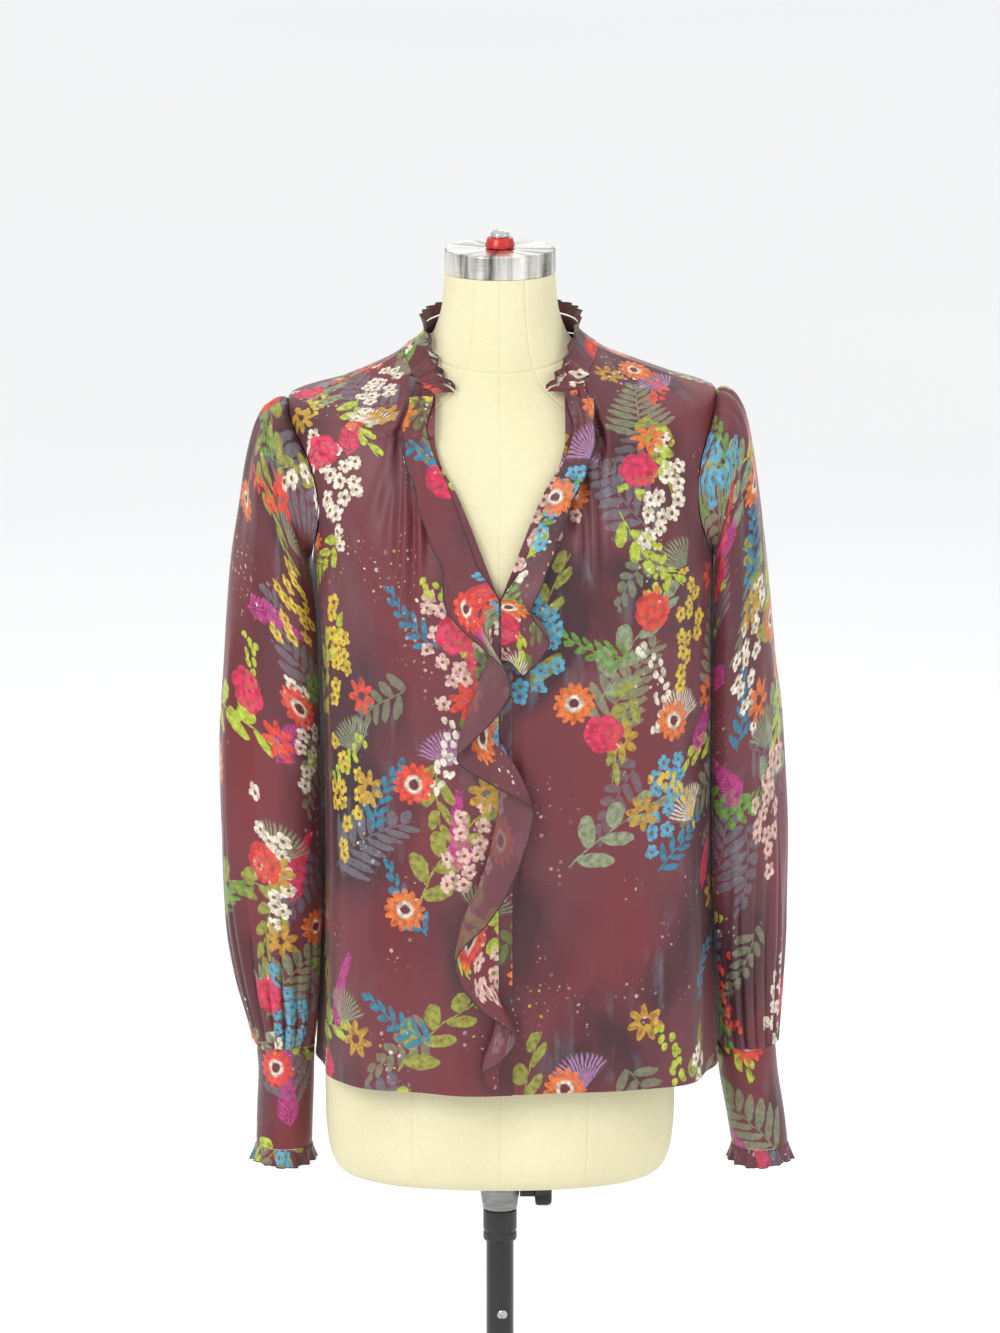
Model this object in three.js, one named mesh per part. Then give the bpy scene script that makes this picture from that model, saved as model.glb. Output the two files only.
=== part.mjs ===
// A long-sleeved blouse with a ruffled V neck, standing collar and gathered sleeves, worn by a dress
// form. The form turns on a mast that slides up out of the stand's pole.
// Millimetres, +Z up. The wearer faces -Y, so +X is the wearer's left. The origin is on the floor,
// under the middle of the pole.
import * as THREE from "three";

const CLOTH = 1.2; // wall of the blouse's pieces
const RUFFLE_CLOTH = 1.0;
const SEAM = 0.3; // between two pieces that are sewn together
const BURGUNDY = 0x5e2a34;
const DEG = Math.PI / 180;

// Turns a table's lines into rows with named columns.
function rows(names, lines) {
  return lines.map((line) => Object.fromEntries(names.map((name, i) => [name, line[i]])));
}

// A table's columns at one place, along curves that never overshoot between two rows.
function along(table, key, place) {
  const last = table.length - 1;
  const x = table.map((row) => row[key]);
  let i = 0;
  while (i < last - 1 && place > x[i + 1]) i++;
  const u = Math.min(1, Math.max(0, (place - x[i]) / (x[i + 1] - x[i])));
  const span = x[i + 1] - x[i];
  const found = {};
  for (const name of Object.keys(table[0])) {
    const slope = (k) => (table[k + 1][name] - table[k][name]) / (x[k + 1] - x[k]);
    const bend = (k) => {
      if (k <= 0) return slope(0);
      if (k >= last) return slope(last - 1);
      const before = slope(k - 1);
      const after = slope(k);
      return before * after > 0 ? (2 * before * after) / (before + after) : 0;
    };
    const a = table[i][name];
    const b = table[i + 1][name];
    const lean = (1 - u) * bend(i) - u * bend(i + 1);
    found[name] = a + (b - a) * u * u * (3 - 2 * u) + span * u * (1 - u) * lean;
  }
  return found;
}

function ease(low, high, x) {
  const t = Math.min(1, Math.max(0, (x - low) / (high - low)));
  return t * t * (3 - 2 * t);
}

function spread(low, high, count) {
  return Array.from({ length: count + 1 }, (_, i) => low + ((high - low) * i) / count);
}

function closedMesh(points, faces) {
  let volume = 0;
  for (const [a, b, c] of faces) {
    volume += points[a].dot(new THREE.Vector3().crossVectors(points[b], points[c]));
  }
  const geometry = new THREE.BufferGeometry().setFromPoints(points);
  geometry.setIndex(faces.flatMap(([a, b, c]) => (volume > 0 ? [a, b, c] : [a, c, b])));
  geometry.computeVertexNormals();
  return geometry;
}

// A wall of cloth from a grid of points on its middle surface. A looped grid is a tube, whose columns
// meet again after the last one.
function wall(grid, thickness, looped = false) {
  const high = grid.length;
  const wide = grid[0].length;
  const at = (i, j) => grid[Math.min(high - 1, Math.max(0, i))][looped ? (j + wide) % wide : Math.min(wide - 1, Math.max(0, j))];
  const outer = [];
  const inner = [];
  for (let i = 0; i < high; i++) {
    for (let j = 0; j < wide; j++) {
      const up = at(i + 1, j).clone().sub(at(i - 1, j));
      const across = at(i, j + 1).clone().sub(at(i, j - 1));
      const normal = across.cross(up).normalize().multiplyScalar(thickness / 2);
      outer.push(at(i, j).clone().add(normal));
      inner.push(at(i, j).clone().sub(normal));
    }
  }
  const points = [...outer, ...inner];
  const shift = outer.length;
  const number = (i, j) => i * wide + (j % wide);
  const faces = [];
  const quad = (a, b, c, d) => faces.push([a, b, c], [a, c, d]);
  const columns = looped ? wide : wide - 1;
  for (let i = 0; i < high - 1; i++) {
    for (let j = 0; j < columns; j++) {
      const [a, b, c, d] = [number(i, j), number(i, j + 1), number(i + 1, j + 1), number(i + 1, j)];
      quad(a, b, c, d);
      quad(d + shift, c + shift, b + shift, a + shift);
    }
  }
  for (let j = 0; j < columns; j++) {
    const [a, b] = [number(0, j), number(0, j + 1)];
    const [c, d] = [number(high - 1, j), number(high - 1, j + 1)];
    quad(b, a, a + shift, b + shift);
    quad(c, d, d + shift, c + shift);
  }
  if (!looped) {
    for (let i = 0; i < high - 1; i++) {
      const [a, b] = [number(i, 0), number(i + 1, 0)];
      const [c, d] = [number(i, wide - 1), number(i + 1, wide - 1)];
      quad(a, b, b + shift, a + shift);
      quad(d, c, c + shift, d + shift);
    }
  }
  return closedMesh(points, faces);
}

// A closed body from rings of points, with its first and last ring filled in flat.
function loft(rings) {
  const wide = rings[0].length;
  const points = rings.flat();
  const faces = [];
  for (let i = 0; i < rings.length - 1; i++) {
    for (let j = 0; j < wide; j++) {
      const [a, b] = [i * wide + j, i * wide + ((j + 1) % wide)];
      faces.push([a, b, b + wide], [a, b + wide, a + wide]);
    }
  }
  for (const [ring, way] of [[0, -1], [rings.length - 1, 1]]) {
    const middle = new THREE.Vector3();
    rings[ring].forEach((p) => middle.add(p));
    points.push(middle.divideScalar(wide));
    for (let j = 0; j < wide; j++) {
      const [a, b] = [ring * wide + j, ring * wide + ((j + 1) % wide)];
      faces.push(way > 0 ? [a, b, points.length - 1] : [b, a, points.length - 1]);
    }
  }
  return closedMesh(points, faces);
}

const part = new THREE.Group();

function add(name, geometry, color, roughness = 0.6, metalness = 0) {
  const mesh = new THREE.Mesh(geometry, new THREE.MeshStandardMaterial({ color, roughness, metalness }));
  mesh.name = name;
  part.add(mesh);
  return mesh;
}

// The body of the blouse, from hem to neckline. Each level has the half widths to the wearer's right
// and left, the depths in front of and behind the axis, where the side seam lies, how square the
// section is, how far its front drops and its back rises for each mm from the side seam, and how
// much higher the wearer's left shoulder sits.
const HEM = 603;
const UNDERARM = 1070;
const SHOULDER = 1213;
const NECKLINE = 1258;
const BODY = rows(["z", "right", "left", "front", "back", "side", "square", "drop", "rise", "lift"], [
  [603, 165, 195, 133, 127, -14, 2.3, 0, 0, 0],
  [700, 161, 192, 135, 123, -14, 2.25, 0, 0, 0],
  [800, 159, 189, 137, 117, -13, 2.15, 0, 0, 0],
  [900, 159, 188, 140, 114, -12, 2.15, 0, 0, 0],
  [1000, 161, 189, 143, 114, -9, 2.2, 0, 0, 0],
  [1058, 166, 191, 141, 116, -5, 2.25, 0, 0, 0],
  [1100, 172, 192, 131, 118, -2, 2.3, 0.02, 0, 1],
  [1140, 179, 194, 114, 117, 0, 2.35, 0.06, 0, 3],
  [1180, 186, 194, 96, 109, 3, 2.3, 0.14, 0.02, 5],
  [1203, 190, 194, 86, 97, 5, 2.2, 0.22, 0.04, 6],
  [1213, 189, 193, 82, 91, 5, 2.15, 0.28, 0.06, 7],
  [1225, 151, 158, 82, 84, 4, 2.1, 0.34, 0.07, 7],
  [1237, 121, 127, 83, 79, 3, 2.1, 0.4, 0.07, 6],
  [1249, 97, 101, 84, 74, 1, 2.05, 0.46, 0.07, 4],
  [1258, 85, 87, 84, 71, 0, 2.05, 0.5, 0.07, 2],
]);

// Where each front's own edge lies, across from the middle: closed to the hem by a lap, then open in
// a V up to the ends of the collar.
const LAP = 11;
const FRONT_EDGE = rows(["z", "x"], [
  [603, -LAP],
  [1030, -LAP],
  [1063, 3],
  [1108, 20],
  [1154, 38],
  [1188, 54],
  [1212, 58],
  [1228, 58],
]);

// Lines that run down a front from the collar to the hem, as x at the neckline, at the shoulder and at
// the hem. Gathers at the collar make the lines ridges or troughs, which fade away at the given level.
const FRONT_LINES = rows(["neck", "shoulder", "hem", "fold", "fade"], [
  [63, 63.5, 66, -1.6, 1060],
  [66, 69, 77, 3.0, 1030],
  [69, 74.5, 87, -2.2, 980],
  [72, 80.5, 97, 3.6, 960],
  [75, 86.5, 108, -2.2, 980],
  [77.5, 93, 119, 2.8, 1060],
  [80, 101, 132, -1.2, 1090],
]);

// Waves that the cloth falls into towards the hem: how many go round, where they start, and height.
const HEM_WAVES = rows(["count", "turn", "height"], [
  [7, 20, 3.6],
  [11, 75, 2.2],
  [4, 130, 3.0],
]);
const WAVES_START = 1040;

function lineX(line, z) {
  if (z <= SHOULDER) return line.hem + ((line.shoulder - line.hem) * (z - HEM)) / (SHOULDER - HEM);
  const share = (z - SHOULDER) / (NECKLINE - SHOULDER);
  const shoulder = along(BODY, "z", SHOULDER).right;
  const neck = along(BODY, "z", NECKLINE).right;
  const ratio = (line.shoulder / shoulder) * (1 - share) + (line.neck / neck) * share;
  return ratio * along(BODY, "z", z).right;
}

// How far the gathers push a front out at an x.
function neckFold(x, z) {
  const reach = Math.abs(x);
  const places = FRONT_LINES.map((line) => lineX(line, z));
  const heights = FRONT_LINES.map((line) => line.fold * ease(line.fade, line.fade + 120, z));
  const last = places.length - 1;
  if (reach <= places[0]) return heights[0] * ease(places[0] - 12, places[0], reach);
  if (reach >= places[last]) return heights[last] * ease(places[last] + 14, places[last], reach);
  const i = places.findIndex((place) => place > reach) - 1;
  const share = ease(places[i], places[i + 1], reach);
  return heights[i] * (1 - share) + heights[i + 1] * share;
}

function hemWave(phi, z) {
  const strength = ease(WAVES_START, HEM, z) ** 1.2;
  return HEM_WAVES.reduce((sum, w) => sum + w.height * strength * Math.cos((w.count * phi + w.turn) * DEG), 0);
}

// A point of the worn body: phi is 0 at the middle of the front, 90 at the wearer's left side seam
// and 180 at the middle of the back. Gathered is how much of the neck's gathers it has.
function bodyPoint(phi, z, away = 0, gathered = 1) {
  const level = along(BODY, "z", z);
  const power = 2 / level.square;
  const sine = Math.sin(phi * DEG);
  const cosine = Math.cos(phi * DEG);
  const half = sine < 0 ? level.right : level.left;
  const deep = cosine > 0 ? level.front + level.side : level.back - level.side;
  const x = Math.sign(sine) * half * Math.abs(sine) ** power;
  const reach = -Math.sign(cosine) * deep * Math.abs(cosine) ** power;
  const slope = cosine > 0 ? level.drop : level.rise;
  const lift = sine > 0 ? level.lift * sine * sine : 0;
  const normal = new THREE.Vector2(x / half ** 2, reach / deep ** 2).normalize();
  const inFront = cosine > 0 ? gathered * neckFold(x, z) * ease(0, 0.25, cosine) : 0;
  const out = away + inFront + hemWave(phi, z);
  return new THREE.Vector3(x + normal.x * out, level.side + reach + normal.y * out, z + slope * reach + lift);
}

// The angle at which the body's front reaches a given x at a level.
function angleAt(x, z) {
  const level = along(BODY, "z", z);
  const half = x < 0 ? level.right : level.left;
  return (Math.sign(x) * Math.asin(Math.min(1, (Math.abs(x) / half) ** (level.square / 2)))) / DEG;
}

// The armhole's edge, from the side seam's angle, at a level between underarm and shoulder.
const ARMHOLE_CUT = 27;
function armhole(z) {
  const up = Math.min(1, Math.max(0, (z - UNDERARM) / (SHOULDER - UNDERARM)));
  return ARMHOLE_CUT * Math.max(0, Math.sin(Math.PI * up)) ** 0.6;
}

const BODY_LEVELS = [
  ...spread(HEM, 1000, 6),
  1035, 1056, UNDERARM, 1074, 1084, 1102, 1126, 1152, 1178, 1198, 1208, SHOULDER,
  1219, 1227, 1237, 1248, NECKLINE,
];
const TUCK = 2.1; // how far the under front lies below the upper one in the lap
const LAP_LINES = [LAP + 3, LAP + 11]; // across the middle, where the tuck ends and where it is gone
const SIDE_SHARES = [0.28, 0.55, 0.8]; // columns between the last fold and the side seam

function front(side) {
  const under = side > 0;
  const grid = BODY_LEVELS.map((z) => {
    const edge = along(FRONT_EDGE, "z", z).x;
    const level = along(BODY, "z", z);
    const seam = (SEAM / 2 / (level.front + level.side)) / DEG;
    const end = 90 - armhole(z) - seam;
    const folds = FRONT_LINES.map((line) => lineX(line, z));
    const gap = folds[0] - edge;
    const across = [
      edge,
      edge + Math.min(LAP_LINES[0] + LAP, 0.4 * gap),
      edge + Math.min(LAP_LINES[1] + LAP, 0.62 * gap),
      edge + 0.8 * gap,
      ...folds,
    ].map((x) => Math.abs(angleAt(side * x, z)) * Math.sign(x));
    const last = across[across.length - 1];
    const angles = [...across, ...SIDE_SHARES.map((share) => last + (end - last) * share), end];
    return angles.map((angle) => {
      const phi = side * angle;
      const x = side * bodyPoint(phi, z).x;
      const lap = under ? -TUCK * ease(LAP_LINES[1], LAP_LINES[0], x) * ease(1085, 1062, z) : 0;
      return bodyPoint(phi, z, lap);
    });
  });
  return wall(grid, CLOTH);
}

add("front_right", front(-1), BURGUNDY);
add("front_left", front(1), BURGUNDY);

const BACK_COLUMNS = 18;
const backGrid = BODY_LEVELS.map((z) => {
  const level = along(BODY, "z", z);
  const seam = (SEAM / 2 / (level.back - level.side)) / DEG;
  const start = 90 + armhole(z) + seam;
  return spread(start, 360 - start, BACK_COLUMNS).map((phi) => bodyPoint(phi, z));
});
add("back", wall(backGrid, CLOTH), BURGUNDY);

// Sleeves. Each ring runs from its outer line, which starts at the shoulder, to its inner line, which
// starts at the underarm; depth is half of its size from front to back, about y.
const CUFF_TOP = 616;
const CUFF_BOTTOM = 521;
const SLEEVE_END = CUFF_TOP + SEAM;
const RIGHT_SLEEVE = rows(["step", "outer", "top", "inner", "low", "depth", "y"], [
  [0, 190, 1212, 172, 1072, 52, 5],
  [0.03, 198, 1214, 172, 1066, 56, 5],
  [0.07, 209, 1205, 169, 1056, 60, 6],
  [0.12, 220, 1186, 163, 1042, 62, 8],
  [0.18, 228, 1156, 157, 1022, 63, 10],
  [0.26, 234, 1116, 153, 994, 63, 13],
  [0.36, 242, 1060, 150, 955, 62, 16],
  [0.48, 248, 975, 149, 900, 62, 18],
  [0.6, 253, 886, 148, 836, 62, 19],
  [0.72, 251, 796, 148, 768, 60, 19],
  [0.82, 246, 728, 150, 714, 56, 19],
  [0.9, 237, 675, 156, 668, 49, 19],
  [0.96, 226, 637, 163, 635, 40, 19],
  [1, 221.5, SLEEVE_END, 168.5, SLEEVE_END, 34, 19],
]);
const LEFT_SLEEVE = rows(["step", "outer", "top", "inner", "low", "depth", "y"], [
  [0, 194, 1218, 192, 1073, 52, 5],
  [0.03, 201, 1226, 192, 1068, 56, 5],
  [0.07, 210, 1216, 190, 1058, 60, 6],
  [0.12, 220, 1198, 185, 1044, 62, 9],
  [0.18, 227, 1166, 181, 1024, 63, 13],
  [0.26, 233, 1124, 178, 996, 64, 17],
  [0.36, 240, 1062, 176, 956, 64, 20],
  [0.48, 247, 980, 176, 902, 64, 22],
  [0.6, 254, 890, 175, 838, 64, 23],
  [0.72, 258, 800, 175, 770, 62, 23],
  [0.82, 257, 730, 177, 716, 58, 22],
  [0.9, 254, 676, 184, 670, 50, 21],
  [0.96, 251, 637, 191, 635, 41, 20],
  [1, 250, SLEEVE_END, 196, SLEEVE_END, 35, 19],
]);
const SLEEVE_STEPS = [0, 0.02, 0.045, 0.08, 0.13, 0.2, 0.3, 0.43, 0.57, 0.69, 0.79, 0.87, 0.93, 0.97, 1];
const GATHERS = 18; // into each cuff
const SLEEVE_COLUMNS = 2 * GATHERS;
const HEAD_GATHERS = 6; // within HEAD_REACH of the shoulder, each way
const HEAD_REACH = 60;

// The sleeve's cut edge, eased into the armhole. turn is 0 at the shoulder, 90 at the front.
function armholePoint(side, turn) {
  const z = SHOULDER - ((SHOULDER - UNDERARM) * (1 - Math.cos(turn * DEG))) / 2;
  const cut = armhole(z) * Math.sign(Math.sin(turn * DEG));
  return bodyPoint(side * (90 - cut), z);
}

// How far the body reaches out to a side at a y, when it hangs as it does below the underarm.
function bodyReach(side, y, z) {
  const level = along(BODY, "z", z);
  const deep = y < level.side ? level.front + level.side : level.back - level.side;
  const share = Math.min(1, Math.abs(y - level.side) / deep);
  const cosine = Math.sign(level.side - y) * share ** (level.square / 2);
  return side * bodyPoint((side * Math.acos(cosine)) / DEG, z).x;
}

const SIDE_GAP = 3; // from the body's middle surface to a sleeve's or a cuff's
const SIDE_SOFTNESS = 3;

// Keeps a hanging point of a sleeve or cuff just outside the body.
function besideBody(side, point) {
  const limit = bodyReach(side, point.y, Math.min(UNDERARM, Math.max(HEM, point.z))) + SIDE_GAP;
  const beyond = side * point.x - limit;
  point.x = side * (limit + (beyond + Math.hypot(beyond, SIDE_SOFTNESS)) / 2);
  return point;
}

function sleevePoint(side, table, turn, step) {
  const ring = along(table, "step", step);
  const outer = new THREE.Vector3(side * ring.outer, ring.y, ring.top);
  const inner = new THREE.Vector3(side * ring.inner, ring.y, ring.low);
  const middle = outer.clone().add(inner).divideScalar(2);
  const across = outer.clone().sub(inner).divideScalar(2);
  const cosine = Math.cos(turn * DEG);
  const sine = Math.sin(turn * DEG);
  const way = across.clone().normalize();
  const out = way.multiplyScalar(cosine).add(new THREE.Vector3(0, -sine, 0));
  const pleats = ease(0.7, 0.93, step) * (1 - 0.35 * ease(0.94, 1, step));
  const soft = ease(0.2, 0.5, step) * (1 - ease(0.8, 1, step));
  const head = ease(0, 0.03, step) * ease(0.16, 0.06, step) * ease(HEAD_REACH, 20, Math.abs(((turn + 180) % 360) - 180));
  const fold =
    3.2 * pleats * Math.cos(GATHERS * turn * DEG) +
    soft * (3.2 * Math.cos((3 * turn + 40) * DEG) + 1.8 * Math.cos((5 * turn + 200) * DEG)) +
    1.6 * head * Math.cos(HEAD_GATHERS * 3 * turn * DEG);
  const full = middle
    .addScaledVector(across, cosine)
    .add(new THREE.Vector3(0, -ring.depth * sine, 0))
    .addScaledVector(out, fold);
  const edge = armholePoint(side, turn);
  const inward = new THREE.Vector3(side * 182, 5, (SHOULDER + UNDERARM) / 2).sub(edge).normalize();
  edge.addScaledVector(inward, CLOTH + SEAM).add(new THREE.Vector3(side * (CLOTH / 2 + SEAM), 0, 0));
  const hanging = besideBody(side, full.clone());
  full.lerp(hanging, ease(UNDERARM + 25, UNDERARM - 2, full.z));
  return edge.lerp(full, ease(0, 0.08, step));
}

function sleeve(side, table) {
  return wall(
    SLEEVE_STEPS.map((step) =>
      Array.from({ length: SLEEVE_COLUMNS }, (_, j) => sleevePoint(side, table, (360 * j) / SLEEVE_COLUMNS, step)),
    ),
    CLOTH,
    true,
  );
}

add("sleeve_right", sleeve(-1, RIGHT_SLEEVE), BURGUNDY);
add("sleeve_left", sleeve(1, LEFT_SLEEVE), BURGUNDY);

// Deep cuffs, each a tube of four levels, with a narrow ruffle round its end.
const CUFF_COLUMNS = 24;
const CUFF_CLOTH = 1.5;
const RIGHT_CUFF = rows(["z", "x", "width", "depth"], [
  [CUFF_BOTTOM, 196.5, 25.2, 31],
  [550, 195.4, 25.2, 31],
  [585, 194.6, 25.0, 31.5],
  [CUFF_TOP, 195, 26.4, 33.5],
]);
const LEFT_CUFF = rows(["z", "x", "width", "depth"], [
  [CUFF_BOTTOM, 236.5, 25.4, 31],
  [550, 232, 26, 31],
  [585, 226.5, 26.4, 32],
  [CUFF_TOP, 223, 27, 34],
]);
const CUFF_Y = 19;
const CUFF_RUFFLE = 15; // its depth
const CUFF_WAVES = 13;

function cuffPoint(side, table, turn, z) {
  const ring = along(table, "z", z);
  return new THREE.Vector3(
    side * (ring.x + ring.width * Math.cos(turn * DEG)),
    CUFF_Y - ring.depth * Math.sin(turn * DEG),
    z,
  );
}

function cuff(side, table) {
  return wall(
    spread(CUFF_BOTTOM, CUFF_TOP, 3).map((z) =>
      Array.from({ length: CUFF_COLUMNS }, (_, j) => cuffPoint(side, table, (360 * j) / CUFF_COLUMNS, z)),
    ),
    CUFF_CLOTH,
    true,
  );
}

function cuffRuffle(side, table) {
  const count = CUFF_WAVES * 4;
  return wall(
    [0, 0.45, 1].map((share) =>
      Array.from({ length: count }, (_, j) => {
        const turn = (360 * j) / count;
        const point = cuffPoint(side, table, turn, CUFF_BOTTOM);
        const out = new THREE.Vector3(side * Math.cos(turn * DEG), -Math.sin(turn * DEG), 0);
        const wave = 2.6 * share * Math.cos(CUFF_WAVES * turn * DEG);
        const ripple = 1.2 * share * Math.cos((3 * turn + 60) * DEG);
        point.addScaledVector(out, 3.2 * share + wave);
        point.z = CUFF_BOTTOM - SEAM - (CUFF_RUFFLE + ripple) * share;
        return point;
      }),
    ),
    RUFFLE_CLOTH,
    true,
  );
}

add("cuff_right", cuff(-1, RIGHT_CUFF), BURGUNDY);
add("cuff_left", cuff(1, LEFT_CUFF), BURGUNDY);
add("cuff_ruffle_right", cuffRuffle(-1, RIGHT_CUFF), BURGUNDY);
add("cuff_ruffle_left", cuffRuffle(1, LEFT_CUFF), BURGUNDY);

// The standing collar leans in from the neckline, from one end of the V round the back to the other,
// with a narrow ruffle along its upper edge. Its two ends lie down along the V.
const COLLAR_END = 43; // the angle of its two ends
const COLLAR_RISE = 18;
const COLLAR_LEAN = 17;
const COLLAR_DROP = 17; // how much lower the upper edge ends
const COLLAR_RUFFLE = 10;
const COLLAR_WAVES = 22;
const COLLAR_COLUMNS = 28;

// share is 0 at the neckline and 1 at the collar's upper edge.
function collarPoint(phi, share) {
  const base = bodyPoint(phi, NECKLINE);
  const turn = phi > 180 ? 360 - phi : phi;
  const back = ease(90, 180, turn);
  const end = ease(COLLAR_END + 34, COLLAR_END, turn);
  const inward = new THREE.Vector3(-base.x, -0.35 * base.y * (1 - end), 0).normalize();
  const curve = Math.sin((share * Math.PI) / 2);
  base.addScaledVector(inward, COLLAR_LEAN * (1 - 0.45 * back) * (curve + (share - curve) * end));
  base.z += 4 * SEAM + COLLAR_RISE * share - COLLAR_DROP * end * share;
  return base;
}

const collarGrid = spread(0, 1, 3).map((share) =>
  spread(COLLAR_END, 360 - COLLAR_END, COLLAR_COLUMNS).map((phi) => collarPoint(phi, share)),
);
add("collar", wall(collarGrid, CLOTH), BURGUNDY);

const collarRuffleGrid = [0, 1].map((share) =>
  spread(COLLAR_END, 360 - COLLAR_END, COLLAR_WAVES * 4).map((phi) => {
    const point = collarPoint(phi, 1);
    const out = new THREE.Vector3(point.x, point.y, 0).normalize();
    const end = Math.min(1, Math.min(phi - COLLAR_END, 360 - COLLAR_END - phi) / 40);
    point.addScaledVector(out, -7 * SEAM * (1 - end));
    const turn = (360 * COLLAR_WAVES * (phi - COLLAR_END)) / (360 - 2 * COLLAR_END);
    point.addScaledVector(out, share * (1 + 2.2 * Math.sin(turn * DEG)) * (0.3 + 0.7 * end));
    point.z += 5 * SEAM + share * COLLAR_RUFFLE * (0.35 + 0.65 * end);
    return point;
  }),
);
add("collar_ruffle", wall(collarRuffleGrid, RUFFLE_CLOTH), BURGUNDY);

// A ruffle runs down each side of the opening. The left front's ends below the V, where it goes under the
// lap. The right front's goes on to the hem and falls in loops that swing to either side: reach is how far
// across the free edge lies, on the ruffle's own side when it is positive, out how far from the front, hang
// how far the free edge falls below its place at the seam, and bow how far the cloth swells on the way.
const RUFFLE_COLUMNS = 5;
const LEFT_ROWS = 18;
const RIGHT_ROWS = 54;
const LEFT_RUFFLE = rows(["z", "reach", "out", "hang", "bow"], [
  [1004, 8, 4, 2, 0],
  [1016, 21, 6, 24, 0],
  [1034, 36, 10, 25, 0],
  [1046, 42, 12, 25, 0],
  [1062, 24, 11, 11, 0],
  [1090, 27, 9, 6, 0],
  [1130, 27, 8, 5, 0],
  [1160, 28, 8, 5, 0],
  [1200, 25, 8, 6, 0],
  [1226, 20, 8, 2, 0],
]);
const RIGHT_RUFFLE = rows(["z", "reach", "out", "hang", "bow"], [
  [611, 6, 5, 2, 0],
  [630, 12, 9, 12, 0],
  [650, 14, 12, 22, 0],
  [672, -2, 18, 32, 5],
  [694, -16, 14, 34, 7],
  [706, -10, 20, 38, 8],
  [730, 20, 13, 38, 4],
  [756, 34, 14, 42, 0],
  [774, 38, 17, 44, 0],
  [790, 30, 21, 44, 5],
  [812, 8, 18, 43, 11],
  [845, -12, 16, 42, 13],
  [884, -26, 14, 42, 11],
  [908, -31, 16, 42, 5],
  [922, -22, 20, 44, 2],
  [940, 8, 14, 45, 2],
  [955, 32, 14, 45, 0],
  [963, 36, 17, 45, 0],
  [976, 26, 21, 45, 6],
  [998, 4, 18, 44, 13],
  [1022, -10, 15, 43, 14],
  [1036, -8, 19, 42, 14],
  [1056, 14, 14, 38, 8],
  [1078, 38, 11, 24, 2],
  [1096, 34, 9, 10, 0],
  [1130, 37, 8, 8, 0],
  [1175, 31, 7, 5, 0],
  [1205, 26, 8, 4, 0],
  [1226, 18, 8, 2, 0],
]);
const RUFFLE_CLEAR = 2.4; // from the front's middle surface to the ruffle's
const BORDER = 8; // of the front that shows between the V's edge and the ruffle
const BORDER_LEVELS = [1058, 1090, 1196, 1224]; // where it starts, is whole, narrows and is gone
const MIDDLE_GAP = 1.3; // least distance of a ruffle's seam from the middle
const RIDGE = 3; // height of the gathers, on which the ruffles' loose side stands
const RIDGE_LEVELS = [1030, 1150]; // where they start and have their whole height
const EVEN_SHARE = 0.6; // of the way out; the rest is steepest at the seam
const SEARCH_ROUNDS = 12; // for the level at which the front reaches a height, by SEARCH_STEP of the error each
const SEARCH_STEP = 0.7;

// The front's surface at an x and a true height.
function frontPoint(x, z, away, gathered) {
  let level = z;
  let point = bodyPoint(angleAt(x, level), level, away, gathered);
  for (let i = 0; i < SEARCH_ROUNDS; i++) {
    level = Math.min(NECKLINE, level + SEARCH_STEP * (z - point.z));
    point = bodyPoint(angleAt(x, level), level, away, gathered);
  }
  return point;
}

function frontRuffle(side, table, count) {
  const low = table[0].z;
  const high = table[table.length - 1].z;
  const grid = spread(low, high, count).map((z) => {
    const row = along(table, "z", z);
    const border = BORDER * ease(BORDER_LEVELS[0], BORDER_LEVELS[1], z) * ease(BORDER_LEVELS[3], BORDER_LEVELS[2], z);
    const edge = Math.max(MIDDLE_GAP, along(FRONT_EDGE, "z", z).x + 1) + border;
    return spread(0, 1, RUFFLE_COLUMNS).map((share) => {
      const rise = Math.sin((share * Math.PI) / 2);
      const swell = row.bow * Math.sin(share * Math.PI);
      const x = side * (edge + (row.reach - border) * rise + swell);
      const height = z - row.hang * share ** 2;
      const ridge = RIDGE * ease(RIDGE_LEVELS[0], RIDGE_LEVELS[1], z) * rise;
      const point = frontPoint(x, height, RUFFLE_CLEAR + ridge, 1 - rise);
      point.y -= row.out * (EVEN_SHARE * share + (1 - EVEN_SHARE) * rise ** 1.2);
      point.z = height;
      return point;
    });
  });
  return wall(grid, RUFFLE_CLOTH);
}

add("front_ruffle_left", frontRuffle(1, LEFT_RUFFLE, LEFT_ROWS), BURGUNDY);
add("front_ruffle_right", frontRuffle(-1, RIGHT_RUFFLE, RIGHT_ROWS), BURGUNDY);

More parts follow.
